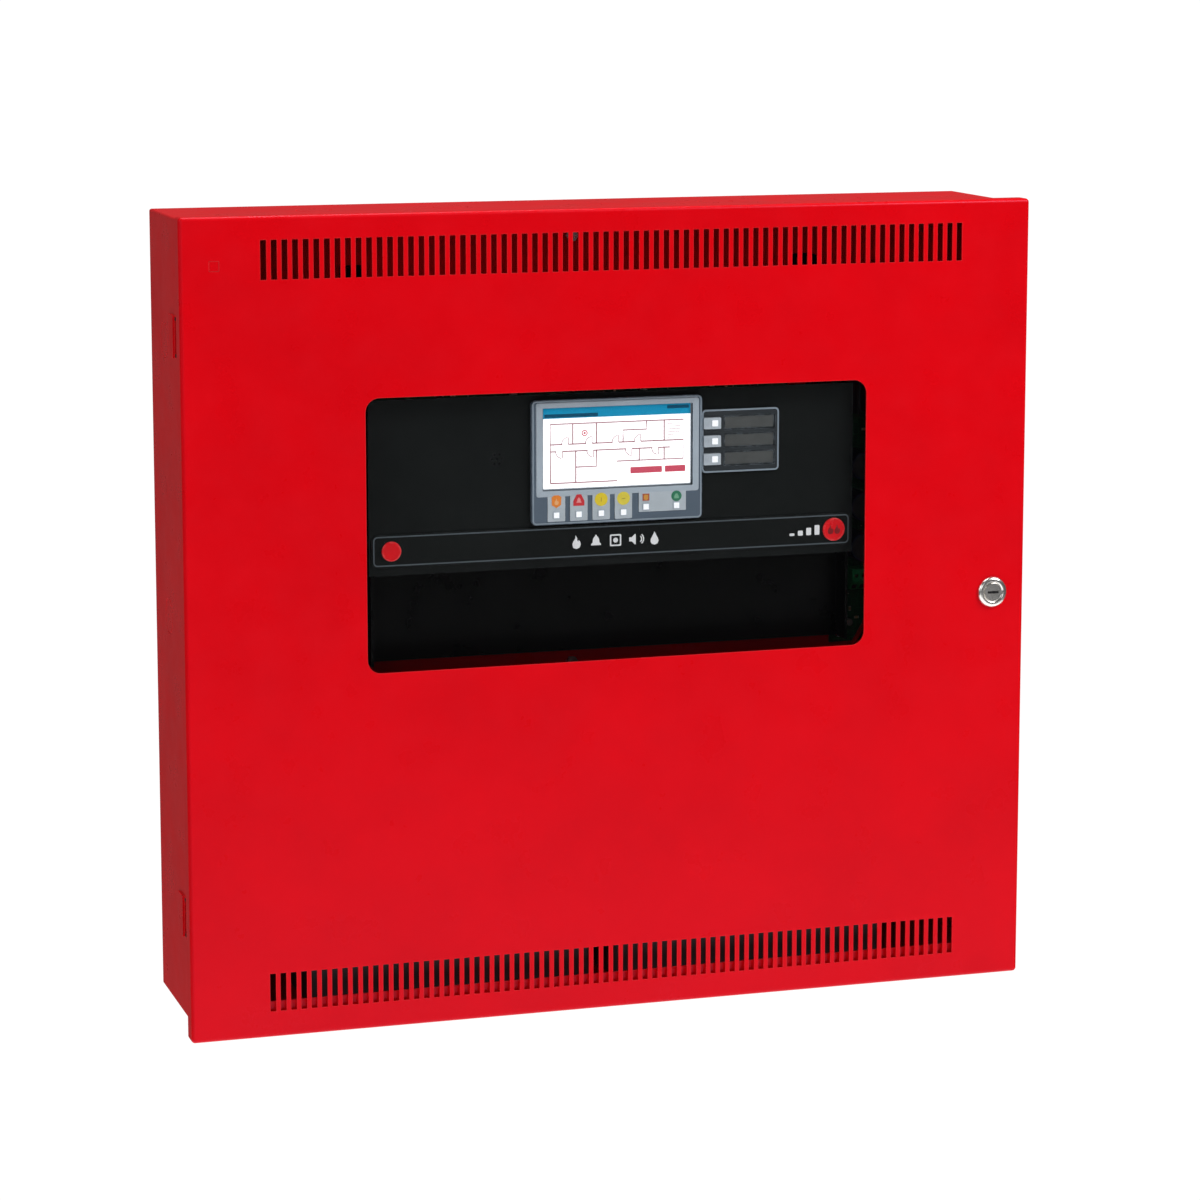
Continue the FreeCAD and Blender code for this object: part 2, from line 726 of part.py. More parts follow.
LEAD_RADIUS = 1.6
RIBBON_BAND = (30, 0.9)
PLUS_TERMINAL_X, MINUS_TERMINAL_X, LEAD_END_Z = 193, 223, -10
# The long lead's way along the shelf above the batteries: (x, behind the tabs, below its rise).
LEAD_WAVES = ((-128, 1, 2), (-80, 6, 8), (-28, 9, 4), (26, 10, -1), (80, 8, 6), (134, 11, 3),
              (182, 14, 2))


def leads():
    """Battery leads and the ribbon between the display board and the main board."""
    tab_top = -value("door_height") / 2 + (value("over_top") + value("over_bottom")) / 2
    tab_top += value("box_sheet") + value("battery_height") + value("tab_rise")
    tab_y = value("tab_behind") - value("box_sheet") - value("battery_back")
    tab_y -= value("battery_depth")
    near = value("battery_gap") / 2 + value("tab_inset")
    far = value("battery_gap") / 2 + value("battery_length") - value("tab_inset")
    board_front = -(value("box_sheet") + value("standoff") + value("chassis_sheet"))
    board_front -= value("board_lift") + value("board")
    entry = board_front - 7
    rise = tab_top + 22
    plus = [V(far, tab_y, tab_top), V(far, tab_y, tab_top + 20),
            V(PLUS_TERMINAL_X, entry, tab_top + 37), V(PLUS_TERMINAL_X, entry, LEAD_END_Z)]
    minus = [V(-far, tab_y, tab_top), V(-far, tab_y, rise)]
    minus += [V(x, tab_y + behind, rise - below) for x, behind, below in LEAD_WAVES]
    minus += [V(MINUS_TERMINAL_X, entry, rise + 10), V(MINUS_TERMINAL_X, entry, LEAD_END_Z)]
    link = [V(-near, tab_y, tab_top), V(-near, tab_y, rise)]
    link += [V(near, tab_y, rise), V(near, tab_y, tab_top)]
    keep(swept("battery_lead_positive", plus, radius=LEAD_RADIUS), "battery_lead_positive")
    black = [swept("minus_lead", minus, radius=LEAD_RADIUS),
             swept("link_lead", link, radius=LEAD_RADIUS)]
    keep(group("battery_leads_black", *black), "battery_leads_black")
    ribbon_x, socket_z = sum(RIBBON_X) / 2, sum(SOCKET_Z) / 2
    socket = board_front - SOCKET_HEIGHT
    board_rear = -value("depth") + value("recess") + value("panel_sheet")
    board_rear += value("display_gap") + value("board")
    ribbon = [V(ribbon_x, board_rear, 60), V(ribbon_x, socket - 14, 60),
              V(ribbon_x, socket - 14, socket_z), V(ribbon_x, socket, socket_z)]
    keep(swept("display_ribbon", ribbon, band=RIBBON_BAND), "display_ribbon")


EARTH_SPOT, EARTH_RADIUS, EARTH_LENGTH = (-240, -215), 3, 18
EARTH_NUT, EARTH_NUT_THICK, EARTH_NUT_PITCH = 5, 5, 6


def earth_stud():
    shank = rod("earth_shank", "y", EARTH_SPOT, EARTH_RADIUS,
                (f"-box_sheet - {EARTH_LENGTH}", "-box_sheet"))
    nuts = []
    for i in range(2):
        near = EARTH_NUT_PITCH * i
        nuts.append(hexagon(f"earth_nut{i}", "y", EARTH_SPOT, EARTH_NUT,
                            (f"-box_sheet - {near + EARTH_NUT_THICK}", f"-box_sheet - {near}")))
    keep(fuse("earth_stud", shank, *nuts), "earth_stud")


# ---- inner panels and display -------------------------------------------------------------

KEY_ROWS = [f"(key_centre + {row} * key_pitch)" for row in (1, 0, -1)]
SCREEN_X = (f"{MIDDLE} + screen_shift - screen_width / 2",
            f"{MIDDLE} + screen_shift + screen_width / 2")
SCREEN_Z = ("screen_bottom", "screen_bottom + screen_height")
KEY_X = ("key_left", "key_left + key_width")
LABEL_X = ("key_left + label_left", "key_left + label_right")
SOUNDER = (-70, 92.5)
SOUNDER_RING = 3.2
BRACKET_FOOT_Z, BRACKET_CHEEK_TOP = (155, 205), 127
PANEL_SCREWS_Z = (45, 112)


def wider(span, low, high=None):
    """A (low, high) pair of expressions, moved out at each end."""
    return (f"{span[0]} - {low}", f"{span[1]} + {high or low}")


def around(centre, half):
    return (f"{centre} - {half}", f"{centre} + {half}")


def pan(name, x, z, front, deep):
    """A plate with returns down its left and right sides."""
    body = plate(name, x, (front, f"{front} + {deep}"), z)
    behind = sketch_on(body, f"{name}_hollow", "XZ_Plane", f"-({front} + panel_sheet)")
    rectangle(behind, (f"{x[0]} + panel_sheet", f"{x[1]} - panel_sheet"), wider(z, 1))
    pocket(body, behind, deep)
    return body


def inner_panels():
    top = f"{WINDOW_TOP} - 3"
    body = pan("dress_panel", (PANEL_LEFT, PANEL_RIGHT), ("panel_bottom", top), PANEL_FRONT,
               "panel_return")
    cuts = sketch_on(body, "panel_cuts", "XZ_Plane", f"-{PANEL_FRONT}")
    rectangle(cuts, wider(SCREEN_X, "screen_margin"), wider(SCREEN_Z, "screen_margin"))
    for row in KEY_ROWS:
        rectangle(cuts, wider(KEY_X, "key_gap"), around(row, "(key_height / 2 + key_gap)"))
    x, z = SOUNDER
    circle(cuts, x, z, "sounder_hole")
    for turn in range(6):
        angle = math.radians(60 * turn)
        circle(cuts, round(x + SOUNDER_RING * math.cos(angle), 3),
               round(z + SOUNDER_RING * math.sin(angle), 3), "sounder_hole")
    pocket(body, cuts, "panel_sheet")
    keep(body, "dress_panel")
    inner = "(panel_sheet * 2 + pan_clearance)"
    blank = pan("lower_blank_panel", (f"{PANEL_LEFT} + {inner}", f"{PANEL_RIGHT} - {inner}"),
                ("blank_bottom", "panel_bottom - blank_gap"), "-depth + blank_recess",
                "blank_return")
    keep(blank, "lower_blank_panel")
    brackets, screws = [], []
    for side, edge in ((1, f"{PANEL_LEFT} + panel_sheet"), (-1, f"{PANEL_RIGHT} - panel_sheet")):
        far = f"{edge} + {side} * panel_sheet"
        ends = (edge, far) if side > 0 else (far, edge)
        toe = f"{edge} + {side} * panel_bracket_foot"
        foot = (edge, toe) if side > 0 else (toe, edge)
        cheek = block(f"bracket_cheek{side}", ends, (f"{PANEL_BACK} + 1", CHASSIS_FRONT),
                      ("blank_bottom", BRACKET_CHEEK_TOP))
        sole = block(f"bracket_foot{side}", foot,
                     (f"{CHASSIS_FRONT} - panel_sheet", CHASSIS_FRONT), BRACKET_FOOT_Z)
        stem = block(f"bracket_stem{side}", ends, (f"{CHASSIS_FRONT} - 20", CHASSIS_FRONT),
                     (BRACKET_CHEEK_TOP - 1, BRACKET_FOOT_Z[1]))
        brackets.append(fuse(f"bracket{side}", cheek, sole, stem))
        outer = f"{edge} - {side} * panel_sheet"
        crown = f"{outer} - {side} * panel_screw_thick"
        head = (crown, outer) if side > 0 else (outer, crown)
        for z in PANEL_SCREWS_Z:
            screws.append(rod(f"panel_screw{side}_{z}", "x", (f"{PANEL_FRONT} + panel_screw_back", z),
                              "panel_screw_head", head))
    keep(group("panel_brackets", *brackets), "panel_brackets")
    keep(group("panel_screws", *screws), "panel_screws")


def strip():
    ends = (f"{PANEL_LEFT} + strip_inset", f"{PANEL_RIGHT} - strip_inset")
    front = f"({PANEL_FRONT} - strip_thick)"
    keep(plate("strip_plate", ends, (front, PANEL_FRONT),
               ("strip_bottom", "strip_bottom + strip_height"), "4"), "strip_plate")
    centre = "strip_bottom + strip_height / 2"
    badge_y = (f"{front} - badge_thick", front)
    badges = [
        rod("badge_left", "y", (f"{ends[0]} + badge_left_inset", centre), "badge_small", badge_y),
        rod("badge_right", "y", (f"{ends[1]} - badge_right_inset", centre), "badge_large", badge_y),
    ]
    keep(group("strip_badges", *badges), "strip_badges")


TILE_WIDE, TILE_HIGH = 11.2, 18.0
TILE_LEFTS = [-39.0, -24.8, -10.6, 3.6]
TILE_BOTTOM = 53.0
TEST_TILE_X, TEST_TILE_Z = (19.0, 49.4), (56.5, 71.0)
LAMP_HALF, LAMP_UP = 1.7, 4.0
TEST_LAMPS_X, TEST_LAMPS_Z = (23.6, 43.2), 59.7


def display():
    front = f"({PANEL_FRONT} - housing_proud)"
    across = around(f"{MIDDLE} + 0.5", "housing_width / 2")
    body = plate("display_housing", across, (front, PANEL_FRONT),
                 ("housing_bottom", "housing_bottom + housing_height"), "3")
    opening(body, "screen_opening", SCREEN_X, SCREEN_Z, front, "housing_proud")
    tiles = [((left, left + TILE_WIDE), (TILE_BOTTOM, TILE_BOTTOM + TILE_HIGH))
             for left in TILE_LEFTS]
    tiles.append((TEST_TILE_X, TEST_TILE_Z))
    seats = sketch_on(body, "tile_seats", "XZ_Plane", f"-{front}")
    for x, z in tiles:
        rectangle(seats, x, z)
    pocket(body, seats, "tile_deep")
    keep(body, "display_housing")
    tile_y = (f"{front} - tile_proud", f"{front} + tile_deep")
    faces = [plate(f"tile{i}", wider(x, "-slip"), tile_y, wider(z, "-slip"), "0.6")
             for i, (x, z) in enumerate(tiles)]
    keep(group("status_tiles", *faces), "status_tiles")
    spots = [(left + TILE_WIDE / 2, TILE_BOTTOM + LAMP_UP) for left in TILE_LEFTS]
    spots += [(x, TEST_LAMPS_Z) for x in TEST_LAMPS_X]
    lamp_y = (f"{front} - lamp_proud", f"{front} - tile_proud")
    lamps = [block(f"lamp{i}", (x - LAMP_HALF, x + LAMP_HALF), lamp_y,
                   (z - LAMP_HALF, z + LAMP_HALF)) for i, (x, z) in enumerate(spots)]
    keep(group("status_lamps", *lamps), "status_lamps")
    inset = (wider(SCREEN_X, "-slip"), wider(SCREEN_Z, "-slip"))
    screen_front = f"({PANEL_FRONT} - screen_recess)"
    glass_y = (f"{screen_front} - screen_glass", screen_front)
    keep(plate("touch_glass", inset[0], glass_y, inset[1]), "touch_glass")
    face = block("lcd_face", inset[0], (screen_front, PANEL_BACK), inset[1])
    case = block("lcd_case", wider(SCREEN_X, "case_left", "case_right"),
                 (PANEL_BACK, f"{PANEL_BACK} + case_deep"),
                 wider(SCREEN_Z, "case_below", "case_above"))
    keep(fuse("lcd_module", face, case), "lcd_module")
    keep(block("display_board", (-58, 118), (DISPLAY_BOARD, f"{DISPLAY_BOARD} + board"),
               (46, 128)), "display_board")
    keep(rod("sounder", "y", SOUNDER, "sounder_radius",
             (PANEL_BACK, f"{PANEL_BACK} + sounder_deep")), "sounder")


def keys():
    frame_front = f"({PANEL_FRONT} - key_frame_thick)"
    frame_x = ("key_left - key_frame_left", "key_left + key_frame_right")
    body = plate("key_frame", frame_x, (frame_front, PANEL_FRONT),
                 around("key_centre", "key_frame_half"), "2.5")
    cuts = sketch_on(body, "frame_cuts", "XZ_Plane", f"-{frame_front}")
    for row in KEY_ROWS:
        rectangle(cuts, wider(KEY_X, "key_gap"), around(row, "(key_height / 2 + key_gap)"))
        rectangle(cuts, LABEL_X, around(row, "label_half"))
    pocket(body, cuts, "key_frame_thick")
    keep(body, "key_frame")
    label_y = (f"{PANEL_FRONT} - label_thick", PANEL_FRONT)
    labels = [block(f"label{i}", LABEL_X, label_y, around(row, "label_half"))
              for i, row in enumerate(KEY_ROWS)]
    keep(group("label_inserts", *labels), "label_inserts")
    rim_front = f"({PANEL_BACK} + key_rim_gap)"
    rim_back = f"({rim_front} + key_rim_thick)"
    switch_front = f"({rim_back} + key_stem_length + key_travel_gap)"
    centre = "(key_left + key_width / 2)"
    switches = []
    for i, row in enumerate(KEY_ROWS, 1):
        z = around(row, "key_height / 2")
        cap_y = (f"{PANEL_FRONT} - key_proud", f"{rim_front} + 0.1")
        cap = plate(f"key_cap{i}", KEY_X, cap_y, z)
        fillet(cap, "0.6", (ALONG_Y,))
        rim = block(f"key_rim{i}", wider(KEY_X, "key_rim"), (rim_front, rim_back),
                    wider(z, "key_rim"))
        stem = rod(f"key_stem{i}", "y", (centre, row), "key_stem",
                   (rim_back, f"{rim_back} + key_stem_length"))
        keep(fuse(f"function_key_{i}", cap, rim, stem), f"function_key_{i}")
        switches.append(block(f"switch{i}", around(centre, "switch_half"),
                              (switch_front, DISPLAY_BOARD), around(row, "switch_half")))
    keep(group("key_switches", *switches), "key_switches")


# ---- door ---------------------------------------------------------------------------------


def door_panel():
    """Folded pan with the window, two rows of vent slots and the lock hole."""
    body = doc.addObject("PartDesign::Body", "door_panel")
    outline = sketch_on(body, "door_outline", "XZ_Plane", "depth - flange")
    rectangle(outline, (DOOR_LEFT, DOOR_RIGHT), (DOOR_BOTTOM, DOOR_TOP))
    pad(body, outline, "flange")
    face = -value("depth")
    on_face = lambda c: c.y < face + 0.01
    fillet(body, "bend", (ALONG_X, on_face), (ALONG_Z, on_face), (ALONG_Y,))
    hollow = sketch_on(body, "door_hollow", "XZ_Plane", "depth - door_sheet")
    rectangle(hollow, (f"{DOOR_LEFT} + door_sheet", f"{DOOR_RIGHT} - door_sheet"),
              (f"{DOOR_BOTTOM} + door_sheet", f"{DOOR_TOP} - door_sheet"))
    pocket(body, hollow, "flange")
    inner = face + value("door_sheet")
    at_root = lambda c: abs(c.y - inner) < 0.01
    fillet(body, "door_sheet", (ALONG_X, at_root), (ALONG_Z, at_root))
    opening(body, "window", around(MIDDLE, "window_width / 2"), (WINDOW_BOTTOM, WINDOW_TOP),
            "-depth", "door_sheet", "window_corner")
    holes = sketch_on(body, "door_holes", "XZ_Plane", "depth")
    circle(holes, LOCK_X, LOCK_Z, "lock_barrel")
    rectangle(holes, around(f"{DOOR_LEFT} + plug_inset", "plug_side / 2"),
              around(f"{DOOR_TOP} - plug_drop", "plug_side / 2"))
    pocket(body, holes, "door_sheet")
    slots = sketch_on(body, "first_slots", "XZ_Plane", "depth")
    start = f"({MIDDLE} - (slot_count - 1) / 2 * slot_pitch)"
    for low in (f"{DOOR_TOP} - slot_margin_top - slot_height", f"{DOOR_BOTTOM} + slot_margin"):
        rectangle(slots, around(start, "slot_width / 2"), (low, f"{low} + slot_height"))
    first = pocket(body, slots, "door_sheet")
    rows = body.newObject("PartDesign::LinearPattern", "vent_slots")
    rows.Originals = [first]
    rows.Direction = (slots, ["H_Axis"])
    rows.setExpression("Occurrences", linked("slot_count"))
    rows.setExpression("Length", linked("(slot_count - 1) * slot_pitch"))
    body.Tip = rows
    doc.recompute()
    keep(body, "door_panel")


def ring(name, y, outer, inner, corner):
    """A rectangular ring round the window, given how far its edges lie beyond the cut-out."""
    x = around(MIDDLE, "window_width / 2")
    z = (WINDOW_BOTTOM, WINDOW_TOP)
    body = plate(name, wider(x, outer), y, wider(z, outer), corner)
    if inner is not None:
        opening(body, f"{name}_middle", wider(x, inner), wider(z, inner), y[0],
                f"({y[1]}) - ({y[0]})", "window_corner")
    return body


def glazing():
    pane_front = f"({DOOR_INNER} + gasket)"
    pane_back = f"({pane_front} + pane)"
    retainer_back = f"({pane_back} + retainer)"
    keep(ring("window_gasket", (DOOR_INNER, pane_front), "pane_lap", 1.5, "4"), "window_gasket")
    keep(ring("window_pane", (pane_front, pane_back), "pane_lap", None, "4"), "window_pane")
    frame = ring("window_retainer", (pane_back, retainer_back), "retainer_lap", 1.5, "3")
    half_x, half_z = "(window_width / 2 + stud_lap)", "(window_height / 2 + stud_lap)"
    centre_z = f"(({WINDOW_TOP} + {WINDOW_BOTTOM}) / 2)"
    spots = [(f"{MIDDLE} + {i} * {half_x}", f"{centre_z} + {k} * {half_z}")
             for i, k in ((-1, -1), (0, -1), (1, -1), (1, 0), (1, 1), (0, 1), (-1, 1), (-1, 0))]
    holes = sketch_on(frame, "stud_holes", "XZ_Plane", f"-{pane_back}")
    for x, z in spots:
        circle(holes, x, z, "stud_radius + stud_clearance")
    pocket(frame, holes, "retainer")
    keep(frame, "window_retainer")
    studs = [rod(f"stud{i}", "y", spot, "stud_radius",
                 (DOOR_INNER, f"{retainer_back} + stud_proud"))
             for i, spot in enumerate(spots)]
    keep(group("retainer_studs", *studs), "retainer_studs")
    nut_y = (retainer_back, f"{retainer_back} + stud_nut_thick")
    nuts = []
    for i, spot in enumerate(spots):
        body = hexagon(f"nut_hex{i}", "y", spot, "stud_nut_half", nut_y)
        bore = rod(f"nut_bore{i}", "y", spot, "stud_radius", nut_y)
        nuts.append(cut(f"nut{i}", body, bore))
    keep(group("retainer_nuts", *nuts), "retainer_nuts")


PLUG_FLANGE, PLUG_FLANGE_THICK, PLUG_SUNK = 4.5, 1, 0.2


def blanking_plug():
    x, z = f"({DOOR_LEFT} + plug_inset)", f"({DOOR_TOP} - plug_drop)"
    half = "(plug_side / 2 - slip)"
    neck = block("plug_neck", around(x, half), (f"-depth + {PLUG_SUNK}", DOOR_INNER),
                 around(z, half))
    rear = block("plug_rear", around(x, PLUG_FLANGE),
                 (DOOR_INNER, f"{DOOR_INNER} + {PLUG_FLANGE_THICK}"), around(z, PLUG_FLANGE))
    keep(fuse("blanking_plug", neck, rear), "blanking_plug")


def lock():
    spot = (LOCK_X, LOCK_Z)
    square = (around(LOCK_X, "lock_square_half"), around(LOCK_Z, "lock_square_half"))
    face = "(-depth - lock_proud)"
    rear = "(-depth + lock_length)"
    drum_rear = f"({rear} + 0.1)"
    cam_front = f"({rear} + cam_lift)"
    cam_back = f"({cam_front} + cam_sheet)"
    barrel = rod("lock_shell", "y", spot, "lock_barrel", ("-depth", rear))
    head = rod("lock_head", "y", spot, "lock_head", (face, "-depth"))
    bore = rod("lock_bore", "y", spot, "plug_radius + pin_clearance", (face, rear))
    keep(cut("lock_body", fuse("lock_casting", barrel, head), bore), "lock_body")
    nut_y = (DOOR_INNER, f"{DOOR_INNER} + lock_nut_thick")
    nut = hexagon("lock_nut_hex", "y", spot, "lock_nut_half", nut_y)
    hole = rod("lock_nut_bore", "y", spot, "lock_barrel", nut_y)
    keep(cut("lock_nut", nut, hole), "lock_nut")
    drum = rod("plug_drum", "y", spot, "plug_radius", (f"{face} + 0.2", drum_rear))
    tang = block("plug_tang", square[0], (drum_rear, cam_back), square[1])
    thread = rod("plug_thread", "y", spot, "lock_thread", (cam_back, f"{rear} + 6"))
    keyway = block("keyway", around(LOCK_X, "keyway_reach"), (face, "-depth + keyway_deep"),
                   around(LOCK_Z, "keyway_half"))
    keep(cut("lock_plug", fuse("plug_turned", drum, tang, thread), keyway), "lock_plug")
    cam_y = (cam_front, cam_back)
    low = f"({LOCK_Z} - cam_length + cam_half)"
    arm = block("cam_arm", around(LOCK_X, "cam_half"), cam_y, (low, LOCK_Z))
    eye = rod("cam_eye", "y", spot, "cam_half", cam_y)
    tip = rod("cam_tip", "y", (LOCK_X, low), "cam_half", cam_y)
    hub = block("cam_square", square[0], cam_y, square[1])
    keep(cut("lock_cam", fuse("cam_blank", arm, eye, tip), hub), "lock_cam")
    cam_nut_y = (cam_back, f"{rear} + 5")
    hex_nut = hexagon("cam_nut_hex", "y", spot, "cam_nut_half", cam_nut_y)
    hex_bore = rod("cam_nut_bore", "y", spot, "lock_thread", cam_nut_y)
    keep(cut("cam_nut", hex_nut, hex_bore), "cam_nut")


# ---- build --------------------------------------------------------------------------------

back_box()
hinges()
chassis()
components()
batteries()
leads()
earth_stud()
inner_panels()
strip()
display()
keys()
door_panel()
glazing()
blanking_plug()
lock()
doc.recompute()

for obj in doc.Objects:
    if {"Invalid", "Error"} & set(obj.State):
        raise RuntimeError(f"{obj.Name} is {obj.State}")
for part in parts:
    if part.Shape.isNull() or not part.Shape.isValid() or not part.Shape.Solids:
        raise RuntimeError(f"{part.Label} has no valid solid")

os.makedirs("parts", exist_ok=True)
for part in parts:
    part.Shape.exportStep(f"parts/{part.Label}.step")
print(len(parts), "sub-parts")
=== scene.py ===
"""Looks of the fire alarm control panel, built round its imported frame."""

import math
import random

import bmesh
import bpy
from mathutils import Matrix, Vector


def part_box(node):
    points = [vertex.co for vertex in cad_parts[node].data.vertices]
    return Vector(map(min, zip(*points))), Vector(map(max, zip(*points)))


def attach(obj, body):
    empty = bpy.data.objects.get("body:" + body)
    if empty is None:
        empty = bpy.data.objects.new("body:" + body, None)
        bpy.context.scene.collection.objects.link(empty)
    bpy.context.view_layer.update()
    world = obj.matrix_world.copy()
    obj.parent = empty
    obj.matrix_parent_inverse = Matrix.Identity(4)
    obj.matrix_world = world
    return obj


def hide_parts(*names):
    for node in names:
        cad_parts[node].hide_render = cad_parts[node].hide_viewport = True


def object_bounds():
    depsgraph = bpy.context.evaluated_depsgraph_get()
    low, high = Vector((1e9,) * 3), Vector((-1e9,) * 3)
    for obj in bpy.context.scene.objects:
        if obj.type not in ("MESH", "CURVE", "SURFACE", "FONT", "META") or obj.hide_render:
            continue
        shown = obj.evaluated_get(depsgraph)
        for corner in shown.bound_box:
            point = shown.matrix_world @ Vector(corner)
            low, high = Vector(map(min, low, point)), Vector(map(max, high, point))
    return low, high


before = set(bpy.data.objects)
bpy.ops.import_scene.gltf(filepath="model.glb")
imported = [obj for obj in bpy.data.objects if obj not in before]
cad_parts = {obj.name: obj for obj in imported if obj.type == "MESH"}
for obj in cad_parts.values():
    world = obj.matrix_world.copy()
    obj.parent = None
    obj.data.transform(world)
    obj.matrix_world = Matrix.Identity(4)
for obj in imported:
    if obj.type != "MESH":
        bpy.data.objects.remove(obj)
cad_low, cad_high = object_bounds()

MM = 0.001
CABINET = "cabinet"
RANDOM = random.Random(4105)


# ---------------- where things are

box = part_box


def islands(node):
    """The boxes of a node's separate solids, from left to right and bottom to top."""
    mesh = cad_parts[node].data
    keys = [tuple(round(c * 1e6) for c in v.co) for v in mesh.vertices]
    parent = {k: k for k in keys}

    def root(k):
        while parent[k] != k:
            parent[k] = parent[parent[k]]
            k = parent[k]
        return k

    for face in mesh.polygons:
        corners = [keys[i] for i in face.vertices]
        for other in corners[1:]:
            parent[root(corners[0])] = root(other)
    groups = {}
    for k in parent:
        groups.setdefault(root(k), []).append(k)
    found = []
    for points in groups.values():
        low = Vector(tuple(min(p[i] for p in points) * 1e-6 for i in range(3)))
        high = Vector(tuple(max(p[i] for p in points) * 1e-6 for i in range(3)))
        found.append((low, high))
    return sorted(found, key=lambda b: (round(b[0].x, 4), round(b[0].z, 4)))


def middle(pair):
    """The middle of a box."""
    return (pair[0] + pair[1]) / 2


# ---------------- outlines, in X and Z


def rounded(left, bottom, right, top, radius, steps=6):
    """A rectangle with rounded corners, anticlockwise as seen from the front."""
    corners = (
        (right - radius, bottom + radius, -90), (right - radius, top - radius, 0),
        (left + radius, top - radius, 90), (left + radius, bottom + radius, 180),
    )
    points = []
    for x, z, start in corners:
        for i in range(steps + 1):
            a = math.radians(start + 90 * i / steps)
            points.append((x + radius * math.cos(a), z + radius * math.sin(a)))
    return points


def square(x, z, half, radius, steps=6):
    """A rounded square about a point."""
    return rounded(x - half, z - half, x + half, z + half, radius, steps)


def grown(pair, by):
    """A box's left, bottom, right and top, each moved out by a distance."""
    low, high = pair
    return low.x - by, low.z - by, high.x + by, high.z + by


def disc(x, z, radius, steps=32):
    turn = 2 * math.pi / steps
    return [(x + radius * math.cos(turn * i), z + radius * math.sin(turn * i)) for i in range(steps)]


def placed(shape, x, z, size):
    """A unit outline moved to a point and scaled to a half size."""
    return [(x + size * u, z + size * v) for u, v in shape]


# ---------------- mesh building

SHARP = math.radians(35)
BEVEL_PROFILE = 0.7


class Build:
    """Collects solids into one mesh."""

    def __init__(self):
        self.bm = bmesh.new()

    def take(self, part, bevel, segments, keep):
        """Adds a part, with its sharp edges rounded."""
        bmesh.ops.recalc_face_normals(part, faces=part.faces)
        if bevel > 0:
            sharp = [
                e
                for e in part.edges
                if len(e.link_faces) == 2
                and e.calc_face_angle(0.0) > SHARP
                and (keep is None or keep(e))
            ]
            bmesh.ops.bevel(
                part, geom=sharp, offset=bevel, segments=segments, profile=BEVEL_PROFILE,
                affect="EDGES", clamp_overlap=True,
            )
        scratch = bpy.data.meshes.new("scratch")
        part.to_mesh(scratch)
        part.free()
        self.bm.from_mesh(scratch)
        bpy.data.meshes.remove(scratch)

    def loft(self, rings, bevel=0.0, segments=2, keep=None, closed=False):
        """Skins rings of points, each with as many points as the first."""
        part = bmesh.new()
        rows = [[part.verts.new(p) for p in ring] for ring in rings]
        count = len(rows[0])
        pairs = list(zip(rows, rows[1:]))
        if closed:
            pairs.append((rows[-1], rows[0]))
        else:
            part.faces.new(rows[0])
            part.faces.new(rows[-1])
        for a, b in pairs:
            for i in range(count):
                j = (i + 1) % count
                part.faces.new((a[i], a[j], b[j], b[i]))
        self.take(part, bevel, segments, keep)

    def prism(self, outline, back, front, bevel=0.0):
        """An outline raised from y=back to y=front, its front edge rounded."""
        half_way = min(back, front) + abs(back - front) * 0.5

        def front_edge(e):
            return all(v.co.y < half_way for v in e.verts)

        self.loft([[(x, y, z) for x, z in outline] for y in (back, front)], bevel, keep=front_edge)

    def frame(self, outer, inner, back, front, slope=0.0):
        """A flat frame between two outlines of as many points; its front edges slope."""
        mid_x = sum(p[0] for p in outer) / len(outer)
        mid_z = sum(p[1] for p in outer) / len(outer)

        def moved(outline, by):
            return [
                (x + math.copysign(by, mid_x - x), z + math.copysign(by, mid_z - z))
                for x, z in outline
            ]

        shoulder = front + min(slope, abs(back - front) * 0.8)
        levels = (
            (outer, back), (outer, shoulder), (moved(outer, slope), front),
            (moved(inner, -slope), front), (inner, shoulder), (inner, back),
        )
        self.loft([[(x, y, z) for x, z in outline] for outline, y in levels], closed=True)

    def slab(self, low, high, bevel=0.0, segments=2):
        """A block with rounded edges."""
        (x0, y0, z0), (x1, y1, z1) = low, high
        rings = [[(x0, y0, z), (x1, y0, z), (x1, y1, z), (x0, y1, z)] for z in (z0, z1)]
        self.loft(rings, bevel, segments)

    def turned(self, profile, x, z, steps=40, closed=False):
        """A profile of (radius, y) turned about a line along Y."""
        rings = [[(u, y, v) for u, v in disc(x, z, r, steps)] for r, y in profile]
        self.loft(rings, closed=closed)

    def line(self, points, width, back, front):
        """A raised line along a run of points."""
        left, right = [], []
        for i, (x, z) in enumerate(points):
            before = points[max(i - 1, 0)]
            after = points[min(i + 1, len(points) - 1)]
            run = Vector((after[0] - before[0], after[1] - before[1])).normalized()
            left.append((x - run.y * width / 2, z + run.x * width / 2))
            right.append((x + run.y * width / 2, z - run.x * width / 2))
        for i in range(len(points) - 1):
            corners = (left[i], right[i], right[i + 1], left[i + 1])
            self.loft([[(x, y, z) for x, z in corners] for y in (back, front)])

    def done(self, name, slot, finish=None, smooth=40, body=CABINET):
        """Makes the piece, which rides on a body and has its slot's finish or its own."""
        mesh = bpy.data.meshes.new(name)
        bmesh.ops.recalc_face_normals(self.bm, faces=self.bm.faces)
        self.bm.to_mesh(mesh)
        self.bm.free()
        mesh.materials.append(finish or FINISHES[slot])
        piece = bpy.data.objects.new(name, mesh)
        bpy.context.scene.collection.objects.link(piece)
        mesh.shade_smooth()
        mesh.set_sharp_from_angle(angle=math.radians(smooth))
        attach(piece, body)
        return piece


# ---------------- materials

# where most of a noise's values lie
NOISE_SPAN = (0.3, 0.7)


def scaled(colour, by):
    return tuple(min(1.0, c * by) for c in colour)


